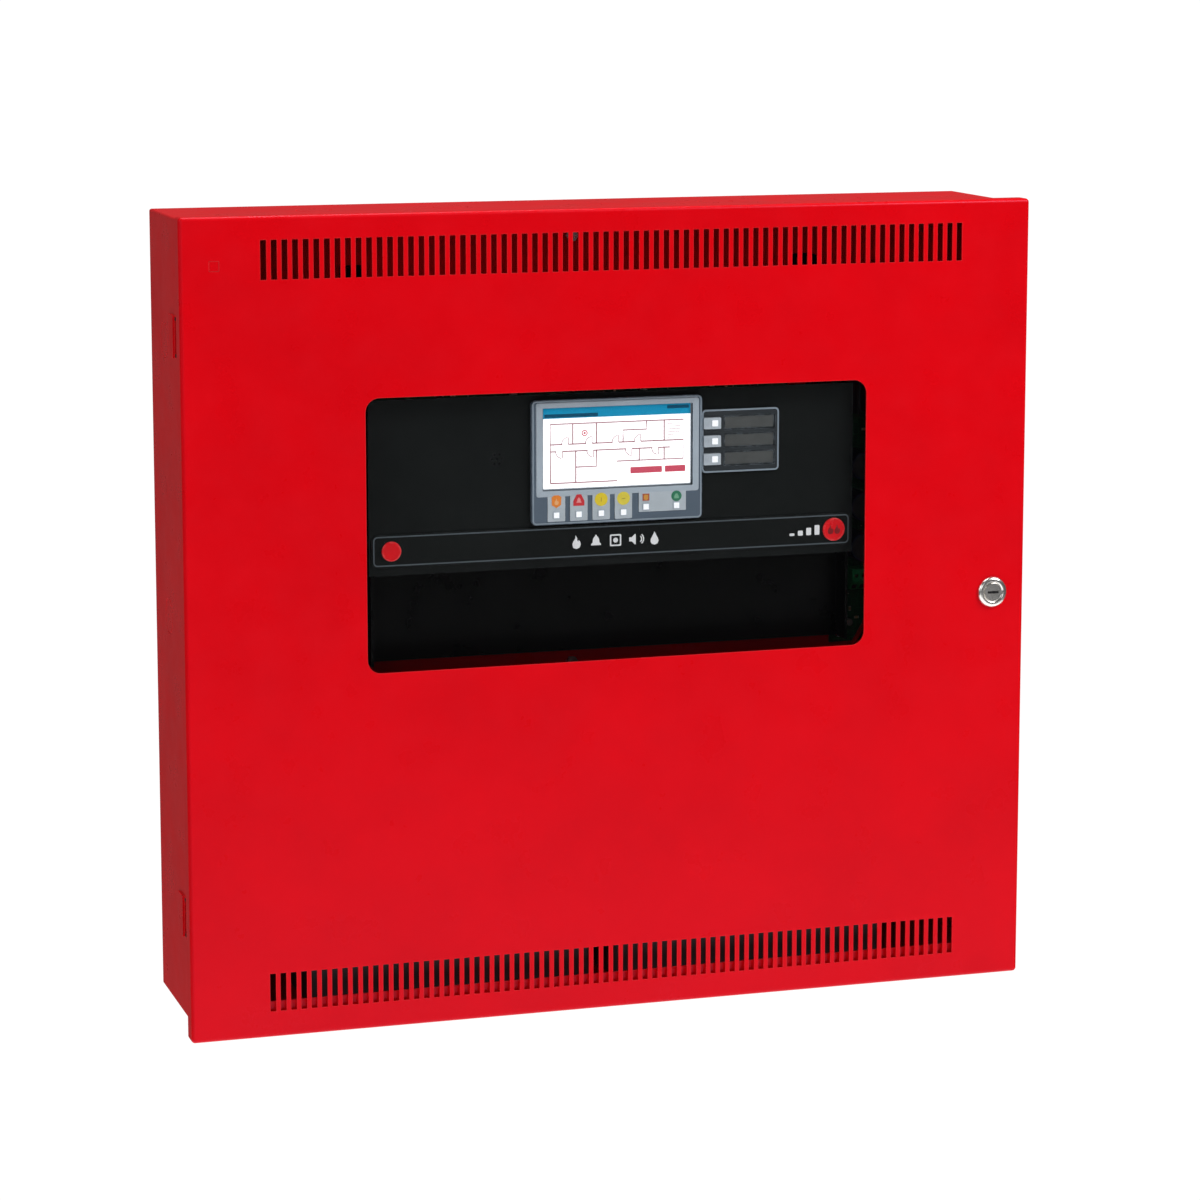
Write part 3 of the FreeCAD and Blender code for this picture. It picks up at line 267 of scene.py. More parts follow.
class Finish:
    """A node material whose colour, roughness and relief vary over the surface."""

    def __init__(self, name, roughness, metallic=0.0, specular=0.5):
        self.material = bpy.data.materials.new("finish_" + name)
        self.material.use_nodes = True
        self.nodes = self.material.node_tree.nodes
        self.links = self.material.node_tree.links
        self.shader = self.nodes["Principled BSDF"]
        self.shader.inputs["Roughness"].default_value = roughness
        self.shader.inputs["Metallic"].default_value = metallic
        self.shader.inputs["Specular IOR Level"].default_value = specular
        self.place = self.add("TexCoord").outputs["Object"]

    def add(self, kind, **inputs):
        node = self.nodes.new("ShaderNode" + kind)
        for name, value in inputs.items():
            socket = node.inputs[name.replace("_", " ")]
            if isinstance(value, bpy.types.NodeSocket):
                self.links.new(value, socket)
            else:
                socket.default_value = value
        return node

    def noise(self, size, detail=3.0, stretch=None):
        """Noise whose grains are about size metres across, 0 to 1."""
        place = self.place
        if stretch:
            place = self.add("Mapping", Vector=place, Scale=stretch).outputs["Vector"]
        return self.add(
            "TexNoise", Vector=place, Scale=1 / size, Detail=detail, Roughness=0.55
        ).outputs["Fac"]

    def ramp(self, value, low, high, to_low=0.0, to_high=1.0):
        return self.add(
            "MapRange", Value=value, From_Min=low, From_Max=high, To_Min=to_low, To_Max=to_high
        ).outputs["Result"]

    def drift(self, size, to_low=0.0, to_high=1.0, detail=3.0):
        """Soft noise that wanders from one value to another."""
        return self.ramp(self.noise(size, detail), *NOISE_SPAN, to_low, to_high)

    def times(self, first, second):
        node = self.add("Math")
        node.operation = "MULTIPLY"
        self.links.new(first, node.inputs[0])
        self.links.new(second, node.inputs[1])
        return node.outputs[0]

    def mix(self, amount, first, second):
        node = self.add("Mix")
        node.data_type = "RGBA"
        for socket, value in ((0, amount), (6, first), (7, second)):
            if isinstance(value, bpy.types.NodeSocket):
                self.links.new(value, node.inputs[socket])
            elif socket:
                node.inputs[socket].default_value = (*value, 1.0)
            else:
                node.inputs[socket].default_value = value
        return node.outputs[2]

    def edges(self, radius):
        """1 on outside and inside edges, 0 on flat faces."""
        soft = self.add("Bevel", Radius=radius)
        soft.samples = 4
        flat = self.add("NewGeometry").outputs["Normal"]
        near = self.add("VectorMath")
        near.operation = "DOT_PRODUCT"
        self.links.new(soft.outputs["Normal"], near.inputs[0])
        self.links.new(flat, near.inputs[1])
        return self.ramp(near.outputs["Value"], 0.97, 0.80)

    def colour(self, socket):
        self.links.new(socket, self.shader.inputs["Base Color"])

    def roughness(self, socket):
        self.links.new(socket, self.shader.inputs["Roughness"])

    def relief(self, height, depth, strength=1.0, under=None):
        node = self.add("Bump", Height=height, Distance=depth, Strength=strength)
        if under is not None:
            self.links.new(under, node.inputs["Normal"])
        self.links.new(node.outputs["Normal"], self.shader.inputs["Normal"])
        return node.outputs["Normal"]


def coated(
    name, colour, rough, peel, depth, specular=0.5, metallic=0.0, spread=0.08, edge_wear_and_highlight=None,
    edge=0.5, blotch=60, stretch=None, tint=(1.0, 1.0, 1.0), unbroken=0.42,
):
    """Paint, plastic or plated metal: broad colour drift, fine relief, and edges lightened both as
    rubbed wear and as a painted edge highlight.

    The peel, depth, edge and blotch are in millimetres.
    """
    f = Finish(name, rough, metallic, specular)
    f.shader.inputs["Specular Tint"].default_value = (*tint, 1.0)
    tone = f.drift(blotch * MM, detail=4.0)
    shade = f.mix(tone, scaled(colour, 1 - spread), scaled(colour, 1 + spread))
    fine = f.noise(peel * MM, 2.0, stretch)
    speck = f.ramp(fine, 0.62, 0.80, 0.0, 0.35)
    shade = f.mix(speck, shade, scaled(colour, 1.0 + 2 * spread))
    # edges lightened by the bevel mask: partly rubbed wear, partly a painted highlight where edges
    # catch light
    if edge_wear_and_highlight:
        broken = f.ramp(f.noise(0.004, 5.0), unbroken, unbroken + 0.18)
        shade = f.mix(f.times(f.edges(edge * MM), broken), shade, edge_wear_and_highlight)
    f.colour(shade)
    cloud = f.noise(0.025, 5.0)
    f.roughness(f.ramp(cloud, *NOISE_SPAN, rough * 0.85, min(1.0, rough * 1.18)))
    under = f.relief(cloud, depth * MM * 0.5, 0.3)
    f.relief(fine, depth * MM, 1.0, under)
    return f.material


def lit(name, colour, glow, rough=0.35):
    """A backlit or bright printed face, with a faint grain."""
    f = Finish(name, rough, 0.0, 0.3)
    cells = f.noise(0.0009, 1.0)
    f.colour(f.mix(f.ramp(cells, 0.35, 0.65), scaled(colour, 0.94), colour))
    f.roughness(f.drift(0.01, rough * 0.8, rough * 1.2))
    f.relief(cells, 0.00001, 0.5)
    f.shader.inputs["Emission Color"].default_value = (*colour, 1.0)
    f.shader.inputs["Emission Strength"].default_value = glow
    return f.material


def clear(name, colour, alpha, rough):
    """A thin clear sheet, with faint smears."""
    f = Finish(name, rough, 0.0, 0.5)
    smear = f.noise(0.03, 5.0, (1.0, 1.0, 0.35))
    f.colour(f.mix(f.ramp(smear, 0.4, 0.7), colour, scaled(colour, 1.5)))
    f.roughness(f.ramp(smear, 0.35, 0.75, rough, rough * 3))
    f.relief(f.noise(0.15, 1.0), 0.00005, 0.4)
    f.shader.inputs["Alpha"].default_value = alpha
    return f.material


MASK_DARK, MASK_LIGHT = (0.005, 0.045, 0.020), (0.008, 0.065, 0.028)
TRACK_GREEN, PLATED = (0.018, 0.12, 0.05), (0.50, 0.48, 0.42)


def circuit_board(name):
    """Solder mask over copper tracks, with plated spots."""
    f = Finish(name, 0.35, 0.0, 0.5)
    cells = f.add("TexVoronoi", Vector=f.place, Scale=190.0, Randomness=0.75)
    cells.distance = "CHEBYCHEV"
    cells.feature = "F1"
    away = cells.outputs["Distance"]
    tracks = f.times(f.ramp(away, 0.30, 0.34), f.ramp(away, 0.42, 0.38))
    shade = f.mix(f.drift(0.03), MASK_DARK, MASK_LIGHT)
    shade = f.mix(tracks, shade, TRACK_GREEN)
    f.colour(f.mix(f.ramp(away, 0.075, 0.055), shade, PLATED))
    f.roughness(f.drift(0.02, 0.28, 0.45))
    f.relief(tracks, 0.00004, 0.8)
    return f.material


# a wave texture of scale 1 repeats every 0.314 m
WAVE_LENGTH = 0.314


def layered(name, colour, pitch, along, rough, metallic, depth):
    """Stacked sheets or wound tape: fine lines across one axis."""
    f = Finish(name, rough, metallic, 0.5)
    scale = WAVE_LENGTH / pitch
    wave = f.add("TexWave", Vector=f.place, Scale=scale, Distortion=0.6, Detail=2.0)
    wave.wave_type = "BANDS"
    wave.bands_direction = along
    lines = wave.outputs["Fac"]
    shade = f.mix(f.drift(0.012), scaled(colour, 0.8), scaled(colour, 1.15))
    f.colour(f.mix(f.ramp(lines, 0.0, 0.35, 0.6, 0.0), shade, scaled(colour, 0.45)))
    f.roughness(f.drift(0.006, rough * 0.8, rough * 1.2))
    f.relief(lines, depth, 0.9)
    return f.material


def ink(name, colour):
    return coated(name, colour, 0.4, 0.5, 0.008, 0.4, spread=0.06, blotch=3)


RED = (0.71, 0.0006, 0.0036)
# RED_EDGE is the lighter pink of the red paint's edges: rubbed paint and a painted highlight where the
# edges catch light; the red finish's low unbroken share keeps it almost continuous
RED_EDGE = (0.80, 0.045, 0.05)

FINISHES = {
    "red_powder_coat": coated(
        "red", RED, 0.30, 2.4, 0.006, 0.20, spread=0.05, edge_wear_and_highlight=RED_EDGE, edge=0.6,
        tint=(1.0, 0.55, 0.95), unbroken=0.25,
    ),
    "zinc_steel": coated(
        "zinc", (0.66, 0.67, 0.69), 0.36, 2.2, 0.01, metallic=1.0,
        spread=0.14, edge_wear_and_highlight=(0.85, 0.85, 0.86), blotch=20, stretch=(1.0, 1.0, 0.12),
    ),
    "pin_steel": coated(
        "bright_steel", (0.74, 0.74, 0.75), 0.28, 0.8, 0.008, metallic=1.0,
        spread=0.10, blotch=4,
    ),
    "lock_chrome": coated(
        "chrome", (0.80, 0.78, 0.75), 0.24, 0.6, 0.004, metallic=1.0,
        spread=0.05, blotch=3, edge_wear_and_highlight=(0.95, 0.94, 0.92), edge=0.4,
    ),
    "panel_black": coated(
        "panel_black", (0.0068, 0.0083, 0.0083), 0.45, 1, 0.025, 0.10,
        spread=0.15, edge_wear_and_highlight=(0.05, 0.055, 0.06),
    ),
    "blank_black": coated(
        "gloss_black", (0.0010, 0.0011, 0.0012), 0.30, 4, 0.01, 0.12,
        spread=0.2, edge_wear_and_highlight=(0.03, 0.03, 0.03),
    ),
    "housing_slate": coated(
        "slate", (0.088, 0.122, 0.165), 0.45, 0.7, 0.02, 0.45,
        spread=0.06, edge_wear_and_highlight=(0.36, 0.42, 0.50), edge=0.6, blotch=30,
    ),
    "tile_grey": coated(
        "tile", (0.46, 0.52, 0.57), 0.40, 0.6, 0.015, 0.45,
        spread=0.05, edge_wear_and_highlight=(0.60, 0.66, 0.72), blotch=10,
    ),
    "key_grey": coated(
        "key", (0.46, 0.52, 0.58), 0.50, 0.5, 0.02, 0.4,
        spread=0.06, edge_wear_and_highlight=(0.56, 0.62, 0.68), blotch=8,
    ),
    "frame_slate": coated(
        "frame_slate", (0.020, 0.026, 0.031), 0.45, 0.7, 0.02, 0.4,
        edge_wear_and_highlight=(0.22, 0.26, 0.30), blotch=20,
    ),
    "label_dark": coated(
        "label", (0.072, 0.078, 0.078), 0.55, 0.4, 0.01, 0.3,
        spread=0.15, blotch=12,
    ),
    "badge_red": coated(
        "badge", (0.72, 0.006, 0.012), 0.25, 0.8, 0.01, 0.5,
        edge_wear_and_highlight=(0.85, 0.15, 0.15), blotch=6,
    ),
    "foam_black": coated(
        "foam", (0.008, 0.008, 0.008), 0.9, 0.6, 0.1, 0.2, spread=0.3,
    ),
    "component_black": coated(
        "component", (0.018, 0.018, 0.020), 0.5, 0.5, 0.02, 0.4,
        spread=0.2, edge_wear_and_highlight=(0.07, 0.07, 0.075), edge=0.3,
    ),
    "terminal_green": coated(
        "terminal", (0.02, 0.27, 0.09), 0.42, 0.8, 0.02, 0.45,
        spread=0.10, edge_wear_and_highlight=(0.10, 0.42, 0.2), edge=0.3,
    ),
    "heatsink_black": coated(
        "anodised", (0.022, 0.022, 0.025), 0.38, 0.6, 0.01, 0.5,
        spread=0.2, edge_wear_and_highlight=(0.16, 0.16, 0.17), edge=0.3, stretch=(1.0, 1.0, 0.1),
    ),
    "battery_case": coated(
        "battery", (0.070, 0.072, 0.078), 0.5, 0.9, 0.04, 0.4,
        spread=0.15, edge_wear_and_highlight=(0.09, 0.09, 0.10), edge=0.8,
    ),
    "terminal_tin": coated(
        "tinned", (0.62, 0.61, 0.58), 0.45, 0.8, 0.02, metallic=1.0,
        spread=0.15, blotch=4,
    ),
    "lead_red": coated(
        "lead_red", (0.50, 0.008, 0.008), 0.42, 2, 0.02, 0.45, spread=0.10,
    ),
    "lead_black": coated(
        "lead_black", (0.012, 0.012, 0.013), 0.40, 2, 0.02, 0.45, spread=0.2,
    ),
    "screen_face": coated(
        "display_can", (0.42, 0.43, 0.45), 0.40, 0.9, 0.01, metallic=1.0,
        spread=0.10, blotch=20,
    ),
    "lamp_white": lit("lamp", (0.90, 0.92, 0.95), 0.35, 0.25),
    "clear_pane": clear("pane", (0.004, 0.004, 0.005), 0.05, 0.03),
    "screen_glass": clear("screen_glass", (0.03, 0.035, 0.04), 0.05, 0.04),
    "board_green": circuit_board("board"),
    "core_steel": layered("core", (0.30, 0.30, 0.31), 0.0007, "X", 0.45, 0.9, 0.00012),
    "winding_tape": layered("tape", (0.62, 0.40, 0.06), 0.006, "Z", 0.40, 0.0, 0.0002),
    "ribbon_grey": layered("ribbon", (0.42, 0.44, 0.46), 0.00127, "X", 0.5, 0.0, 0.0003),
}

for node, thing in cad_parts.items():
    for place in thing.material_slots:
        name = place.material.name.split(".")[0]
        if name in FINISHES:
            place.material = FINISHES[name]

WHITE_FIELD = lit("field", (0.95, 0.96, 0.97), 1.02)
BLUE_FIELD = lit("title", (0.006, 0.28, 0.50), 0.40)
NAVY_FIELD = lit("title_mark", (0.004, 0.10, 0.20), 0.10)
RED_FIELD = lit("message", (0.72, 0.10, 0.16), 0.25)
ROSE_LINE = lit("plan_line", (0.42, 0.16, 0.21), 0.25)
GREY_FILM = coated(
    "grey_film", (0.40, 0.45, 0.50), 0.4, 0.6, 0.01, 0.4, spread=0.05, blotch=10
)
LIGHT_BEZEL = coated(
    "light_bezel", (0.40, 0.47, 0.54), 0.42, 0.7, 0.02, 0.45,
    spread=0.05, edge_wear_and_highlight=(0.52, 0.58, 0.64), blotch=20,
)
# pale lines along raised edges: a painted edge highlight
PALE_EDGE_HIGHLIGHT = coated(
    "pale_edge_highlight", (0.25, 0.31, 0.37), 0.45, 0.6, 0.01, 0.45, spread=0.06, blotch=10
)
STRIP_LINE = coated(
    "strip_line", (0.075, 0.094, 0.110), 0.4, 0.6, 0.01, 0.4, spread=0.1, blotch=10
)
PALE_PRINT = coated(
    "pale_print", (0.78, 0.80, 0.82), 0.45, 0.5, 0.008, 0.4, spread=0.04, blotch=4
)
BADGE_DARK = coated(
    "badge_dark", (0.22, 0.004, 0.008), 0.35, 0.6, 0.01, 0.5, spread=0.1, blotch=4
)
CAN_TOP = coated(
    "can_top", (0.030, 0.030, 0.032), 0.45, 0.8, 0.01, 0.3, spread=0.15, blotch=4
)
SLEEVE = coated(
    "sleeve", (0.008, 0.013, 0.034), 0.35, 1.2, 0.01, 0.5, spread=0.15, blotch=10
)
CERAMIC = coated(
    "ceramic", (0.42, 0.30, 0.18), 0.45, 0.4, 0.01, 0.4, spread=0.15, blotch=3
)
CONNECTOR = coated(
    "connector", (0.62, 0.60, 0.54), 0.5, 0.6, 0.01, 0.4, blotch=6
)
LABEL_GREY = coated(
    "label_grey", (0.30, 0.31, 0.32), 0.4, 0.8, 0.005, 0.4, spread=0.05, blotch=20
)


# ---------------- the display

# the made-up site plan, in shares of the white field's width and height
WALLS = (
    ((0.05, 0.08), (0.50, 0.08), (0.50, 0.36), (0.95, 0.36), (0.95, 0.92), (0.05, 0.92), (0.05, 0.08)),
    ((0.05, 0.63), (0.13, 0.63)),
    ((0.17, 0.63), (0.29, 0.63)),
    ((0.33, 0.63), (0.47, 0.63)),
    ((0.51, 0.63), (0.62, 0.63)),
    ((0.66, 0.63), (0.95, 0.63)),
    ((0.05, 0.53), (0.09, 0.53)),
    ((0.13, 0.53), (0.30, 0.53)),
    ((0.34, 0.53), (0.56, 0.53)),
    ((0.60, 0.53), (0.74, 0.53)),
    ((0.78, 0.53), (0.86, 0.53)),
    ((0.20, 0.63), (0.20, 0.92)),
    ((0.36, 0.63), (0.36, 0.92)),
    ((0.54, 0.63), (0.54, 0.80), (0.70, 0.80), (0.70, 0.92)),
    ((0.82, 0.63), (0.82, 0.92)),
    ((0.22, 0.53), (0.22, 0.08)),
    ((0.22, 0.30), (0.36, 0.30), (0.36, 0.53)),
    ((0.65, 0.53), (0.65, 0.36)),
    ((0.82, 0.36), (0.82, 0.53)),
)
DOORS = (
    (0.17, 0.63, 1), (0.33, 0.63, 1), (0.51, 0.63, 1), (0.66, 0.63, 1),
    (0.13, 0.53, -1), (0.34, 0.53, -1), (0.60, 0.53, -1), (0.78, 0.53, -1),
)
DOOR_WIDTH = 0.045
STAIR_TREADS = 6
STAIR_SIDES = (0.84, 0.93)
STAIR_FOOT, STAIR_STEP = 0.67, 0.04
ALERT_AT = (0.28, 0.78)
TITLE_MARKS = ((0.01, 0.37, 0.10), (0.84, 0.99, 0.55))
TITLE_MARK_TALL = 0.32
MESSAGES = ((0.59, 0.805), (0.825, 0.965))
MESSAGE_LOW, MESSAGE_HIGH = 0.175, 0.265

SCREEN_EDGE = 0.9 * MM
TITLE_TALL = 6.4 * MM
COVER_THICK = 0.35 * MM
COVER_GAP = 0.55 * MM
FILM = 0.05 * MM


def screen():
    """Cover glass, title bar, white field with a made-up site plan, message bars."""
    low, high = box("touch_glass")
    back = high.y
    cover = Build()
    outline = rounded(low.x, low.z, high.x, high.z, 0.6 * MM)
    cover.prism(outline, low.y + COVER_THICK, low.y, 0.12 * MM)
    glass = cover.done("screen_cover", "screen_glass")
    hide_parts("touch_glass")

    left, right = low.x + SCREEN_EDGE, high.x - SCREEN_EDGE
    bottom, top = low.z + SCREEN_EDGE, high.z - SCREEN_EDGE * 0.4
    bar = top - TITLE_TALL
    white = low.y + COVER_GAP
    print_face = white - FILM

    surround = Build()
    outline = rounded(low.x, low.z, high.x, high.z, 0.5 * MM)
    surround.frame(outline, rounded(left, bottom, right, top, 0.3 * MM), back, white, 0.2 * MM)
    surround.done("screen_surround", "housing_slate", GREY_FILM)

    field = Build()
    field.prism(rounded(left, bottom, right, bar, 0.2 * MM), back, white)
    field.done("screen_field", "screen_face", WHITE_FIELD)

    title = Build()
    title.prism(rounded(left, bar, right, top, 0.2 * MM), back, white)
    title.done("screen_title_bar", "screen_face", BLUE_FIELD)
    wide, tall, title_tall = right - left, bar - bottom, top - bar
    under = Build()
    for start, end, z in TITLE_MARKS:
        low_z, high_z = bar + title_tall * z, bar + title_tall * (z + TITLE_MARK_TALL)
        mark = rounded(left + wide * start, low_z, left + wide * end, high_z, 0.3 * MM)
        under.prism(mark, white, print_face)
    under.done("screen_title_marks", "screen_face", NAVY_FIELD)

    def at(points):
        return [(left + wide * u, bottom + tall * v) for u, v in points]

    plan = Build()
    for run in WALLS:
        plan.line(at(run), 0.72 * MM, white, print_face)
    for u, v, side in DOORS:
        swing = [
            (
                u - DOOR_WIDTH * math.sin(math.radians(a)),
                v + side * DOOR_WIDTH * wide / tall * math.cos(math.radians(a)),
            )
            for a in range(0, 91, 15)
        ]
        plan.line(at([(u, v), *swing]), 0.42 * MM, white, print_face)
    for i in range(STAIR_TREADS):
        v = STAIR_FOOT + STAIR_STEP * i
        plan.line(at([(u, v) for u in STAIR_SIDES]), 0.3 * MM, white, print_face)
    plan.done("screen_floor_plan", "screen_face", ROSE_LINE)
    alert = Build()
    x, z = at([ALERT_AT])[0]
    alert.frame(disc(x, z, 1.9 * MM, 24), disc(x, z, 1.3 * MM, 24), white, print_face)
    alert.prism(disc(x, z, 0.7 * MM, 16), white, print_face)
    alert.done("screen_alert_mark", "screen_face", RED_FIELD)
    bars = Build()
    for start, end in MESSAGES:
        low_z, high_z = bottom + tall * MESSAGE_LOW, bottom + tall * MESSAGE_HIGH
        bars.prism(
            rounded(left + wide * start, low_z, left + wide * end, high_z, 0.5 * MM), white,
            print_face,
        )
    bars.done("screen_message_bars", "screen_face", RED_FIELD)


BEZEL_SIDE, BEZEL_BELOW, BEZEL_ABOVE = 4.0 * MM, 3.6 * MM, 3.2 * MM
BEZEL_RAISED = 0.5 * MM
LINE_RAISED = 0.25 * MM


def edge_line(pair, outside, inside, face):
    """A raised line just inside a box's edge, for a painted edge highlight; each side is (distance in,
    corner radius).
    """
    line = Build()
    line.frame(
        rounded(*grown(pair, -outside[0] * MM), outside[1] * MM),
        rounded(*grown(pair, -inside[0] * MM), inside[1] * MM), face, face - LINE_RAISED,
        0.1 * MM,
    )
    return line


def housing():
    """The light bezel round the screen, pale lines along the housing's and keys' frame edges as a
    painted edge highlight, and the edges of the labels.
    """
    opening = box("touch_glass")
    face = box("display_housing")[0].y
    bezel = Build()
    outer = (
        opening[0].x - BEZEL_SIDE, opening[0].z - BEZEL_BELOW, opening[1].x + BEZEL_SIDE,
        opening[1].z + BEZEL_ABOVE,
    )
    bezel.frame(
        rounded(*outer, 1.6 * MM), rounded(*grown(opening, 0.35 * MM), 0.8 * MM), face,
        face - BEZEL_RAISED, 0.35 * MM,
    )
    bezel.done("screen_bezel", "housing_slate", LIGHT_BEZEL)

    # a pale line along the housing's edge: painted edge highlight
    rim = edge_line(box("display_housing"), (0.35, 2.2), (1.15, 1.5), face)
    rim.done("housing_edge_highlight", "housing_slate", PALE_EDGE_HIGHLIGHT)

    # its inside edge stays clear of the keys, which slide past it
    # a pale line along the key frame's edge: painted edge highlight
    frame_box = box("key_frame")
    line = edge_line(frame_box, (0.05, 2.4), (0.95, 1.6), frame_box[0].y)
    line.done("key_frame_edge_line", "frame_slate", PALE_EDGE_HIGHLIGHT)

    stops = Build()
    for lo, hi in islands("label_inserts"):
        stops.frame(
            rounded(lo.x, lo.z, hi.x, hi.z, 0.6 * MM, 3),
            rounded(*grown((lo, hi), -0.7 * MM), 0.3 * MM, 3), lo.y, lo.y - 0.3 * MM,
            0.12 * MM,
        )
    stops.done("label_pocket_edges", "frame_slate")


# ---------------- pictograms

FLAME = (
    (0.0, -1.0), (0.45, -0.85), (0.66, -0.40), (0.56, 0.05), (0.36, 0.30),
    (0.30, 0.02), (0.14, 0.25), (0.10, 0.62), (-0.12, 1.0), (-0.16, 0.55),
    (-0.46, 0.10), (-0.62, -0.35), (-0.45, -0.85),
)
BELL = (
    (-0.75, -0.60), (0.75, -0.60), (0.75, -0.42), (0.52, -0.20), (0.46, 0.30),
    (0.28, 0.62), (0.11, 0.74), (0.11, 0.92), (-0.11, 0.92), (-0.11, 0.74),
    (-0.28, 0.62), (-0.46, 0.30), (-0.52, -0.20), (-0.75, -0.42),
)
HOUSE = ((-0.85, -0.8), (0.85, -0.8), (0.85, -0.1), (0.35, 0.9), (-0.35, 0.9), (-0.85, -0.1))
SHIELD = (
    (0.0, -1.0), (0.7, -0.55), (0.75, 0.6), (0.35, 0.9), (-0.35, 0.9), (-0.75, 0.6),
    (-0.7, -0.55),
)
SLASH = ((-0.5, -0.13), (0.5, -0.13), (0.5, 0.13), (-0.5, 0.13))
BAR = ((-0.14, -0.6), (0.14, -0.6), (0.14, 0.6), (-0.14, 0.6))
SQUARE = ((-0.6, -0.6), (0.6, -0.6), (0.6, 0.6), (-0.6, 0.6))

HORN = (
    (-0.9, -0.30), (-0.5, -0.30), (-0.05, -0.75), (0.10, -0.75), (0.10, 0.75),
    (-0.05, 0.75), (-0.5, 0.30), (-0.9, 0.30),
)
DROP = (
    (0.0, -0.95), (0.42, -0.80), (0.62, -0.42), (0.55, -0.05), (0.28, 0.42),
    (0.0, 1.0), (-0.28, 0.42), (-0.55, -0.05), (-0.62, -0.42), (-0.42, -0.80),
)
ROUND = tuple(disc(0.0, 0.0, 1.0, 24))
TILE_MARKS = (
    ("orange", SHIELD, FLAME, 4.1, (0.80, 0.24, 0.035), (0.86, 0.45, 0.20)),
    ("red", HOUSE, BELL, 4.1, (0.62, 0.035, 0.045), (0.80, 0.30, 0.30)),
    ("amber", ROUND, BAR, 4.1, (0.78, 0.60, 0.035), (0.50, 0.36, 0.05)),
    ("yellow", ROUND, SLASH, 4.1, (0.74, 0.62, 0.07), (0.42, 0.34, 0.05)),
    ("brown", SQUARE, SHIELD, 3.6, (0.42, 0.10, 0.05), (0.62, 0.30, 0.06)),
    ("green", ROUND, HOUSE, 3.3, (0.035, 0.20, 0.11), (0.18, 0.40, 0.26)),
)

MARK_DROP = 5.4 * MM
MARK_THICK = 0.18 * MM
GLYPH_THICK = 0.10 * MM
GLYPH_SHARE = 0.52


def marks():
    """A coloured pictogram over each lamp, and a bezel round each lamp."""
    lamps = sorted(islands("status_lamps"), key=lambda b: b[0].x)
    tiles = islands("status_tiles")
    for lamp, (name, plate, glyph, half, colour, second) in zip(lamps, TILE_MARKS):
        x = middle(lamp).x
        tile = next(t for t in tiles if t[0].x < x < t[1].x)
        z = tile[1].z - MARK_DROP
        face = tile[0].y
        raised = face - MARK_THICK
        body = Build()
        body.prism(placed(plate, x, z, half * MM), face, raised, 0.06 * MM)
        body.done("tile_mark_" + name, "tile_grey", ink("mark_" + name, colour), 30)
        top = Build()
        outline = placed(glyph, x, z - 0.1 * MM, half * GLYPH_SHARE * MM)
        top.prism(outline, raised, raised - GLYPH_THICK)
        top.done("tile_glyph_" + name, "tile_grey", ink("glyph_" + name, second), 30)
    rims = Build()
    for low, high in lamps:
        rims.frame(
            rounded(*grown((low, high), 0.55 * MM), 0.5 * MM, 3),
            rounded(*grown((low, high), 0.02 * MM), 0.1 * MM, 3), high.y, low.y + 0.12 * MM,
            0.12 * MM,
        )
    rims.done("lamp_bezels", "tile_grey", LIGHT_BEZEL)


KEY_LAMP_HALF = 1.9 * MM
KEY_LAMP_ASIDE = 1.6 * MM
KEY_RIM = 0.6 * MM
KEY_RIBS = 3
KEY_RIB_FIRST, KEY_RIB_PITCH, KEY_RIB_WIDE = 1.9, 0.9, 0.4
KEY_RIB_HALF = 1.7 * MM


def key_details(number):
    """The lamp window on a key, its rim and the ribs beside it."""
    low, high = box(f"function_key_{number}")
    body = f"key_{number}"
    centre = middle((low, high))
    face = low.y
    x = centre.x + KEY_LAMP_ASIDE
    lamp_edge = square(x, centre.z, KEY_LAMP_HALF, 0.4 * MM, 3)
    window = Build()
    window.prism(lamp_edge, face, face - 0.22 * MM, 0.08 * MM)
    window.done(f"key_{number}_lamp", "lamp_white", body=body)
    rim = Build()
    rim_edge = square(x, centre.z, KEY_LAMP_HALF + KEY_RIM, 0.7 * MM, 3)
    rim.frame(rim_edge, lamp_edge, face, face - 0.15 * MM, 0.1 * MM)
    for step in range(KEY_RIBS):
        left = low.x + (KEY_RIB_FIRST + KEY_RIB_PITCH * step) * MM
        right = left + KEY_RIB_WIDE * MM
        rib = rounded(left, centre.z - KEY_RIB_HALF, right, centre.z + KEY_RIB_HALF, 0.19 * MM, 3)
        rim.prism(rib, face, face - 0.18 * MM)
    rim.done(f"key_{number}_ribs", "key_grey", body=body)


SIGN_PITCH = 12.5 * MM
SIGN_SIZE = 4.2 * MM
SIGN_THICK = 0.14 * MM
SIGNS = ((-2.0, FLAME), (-1.0, BELL), (1.0, HORN), (2.0, DROP))
BORDER_INSET, BORDER_WIDE = 0.9 * MM, 0.75 * MM
STEPS = 4
STEPS_FROM_RIGHT = 40 * MM
BADGE_FLAME_ASIDE = 2.2 * MM


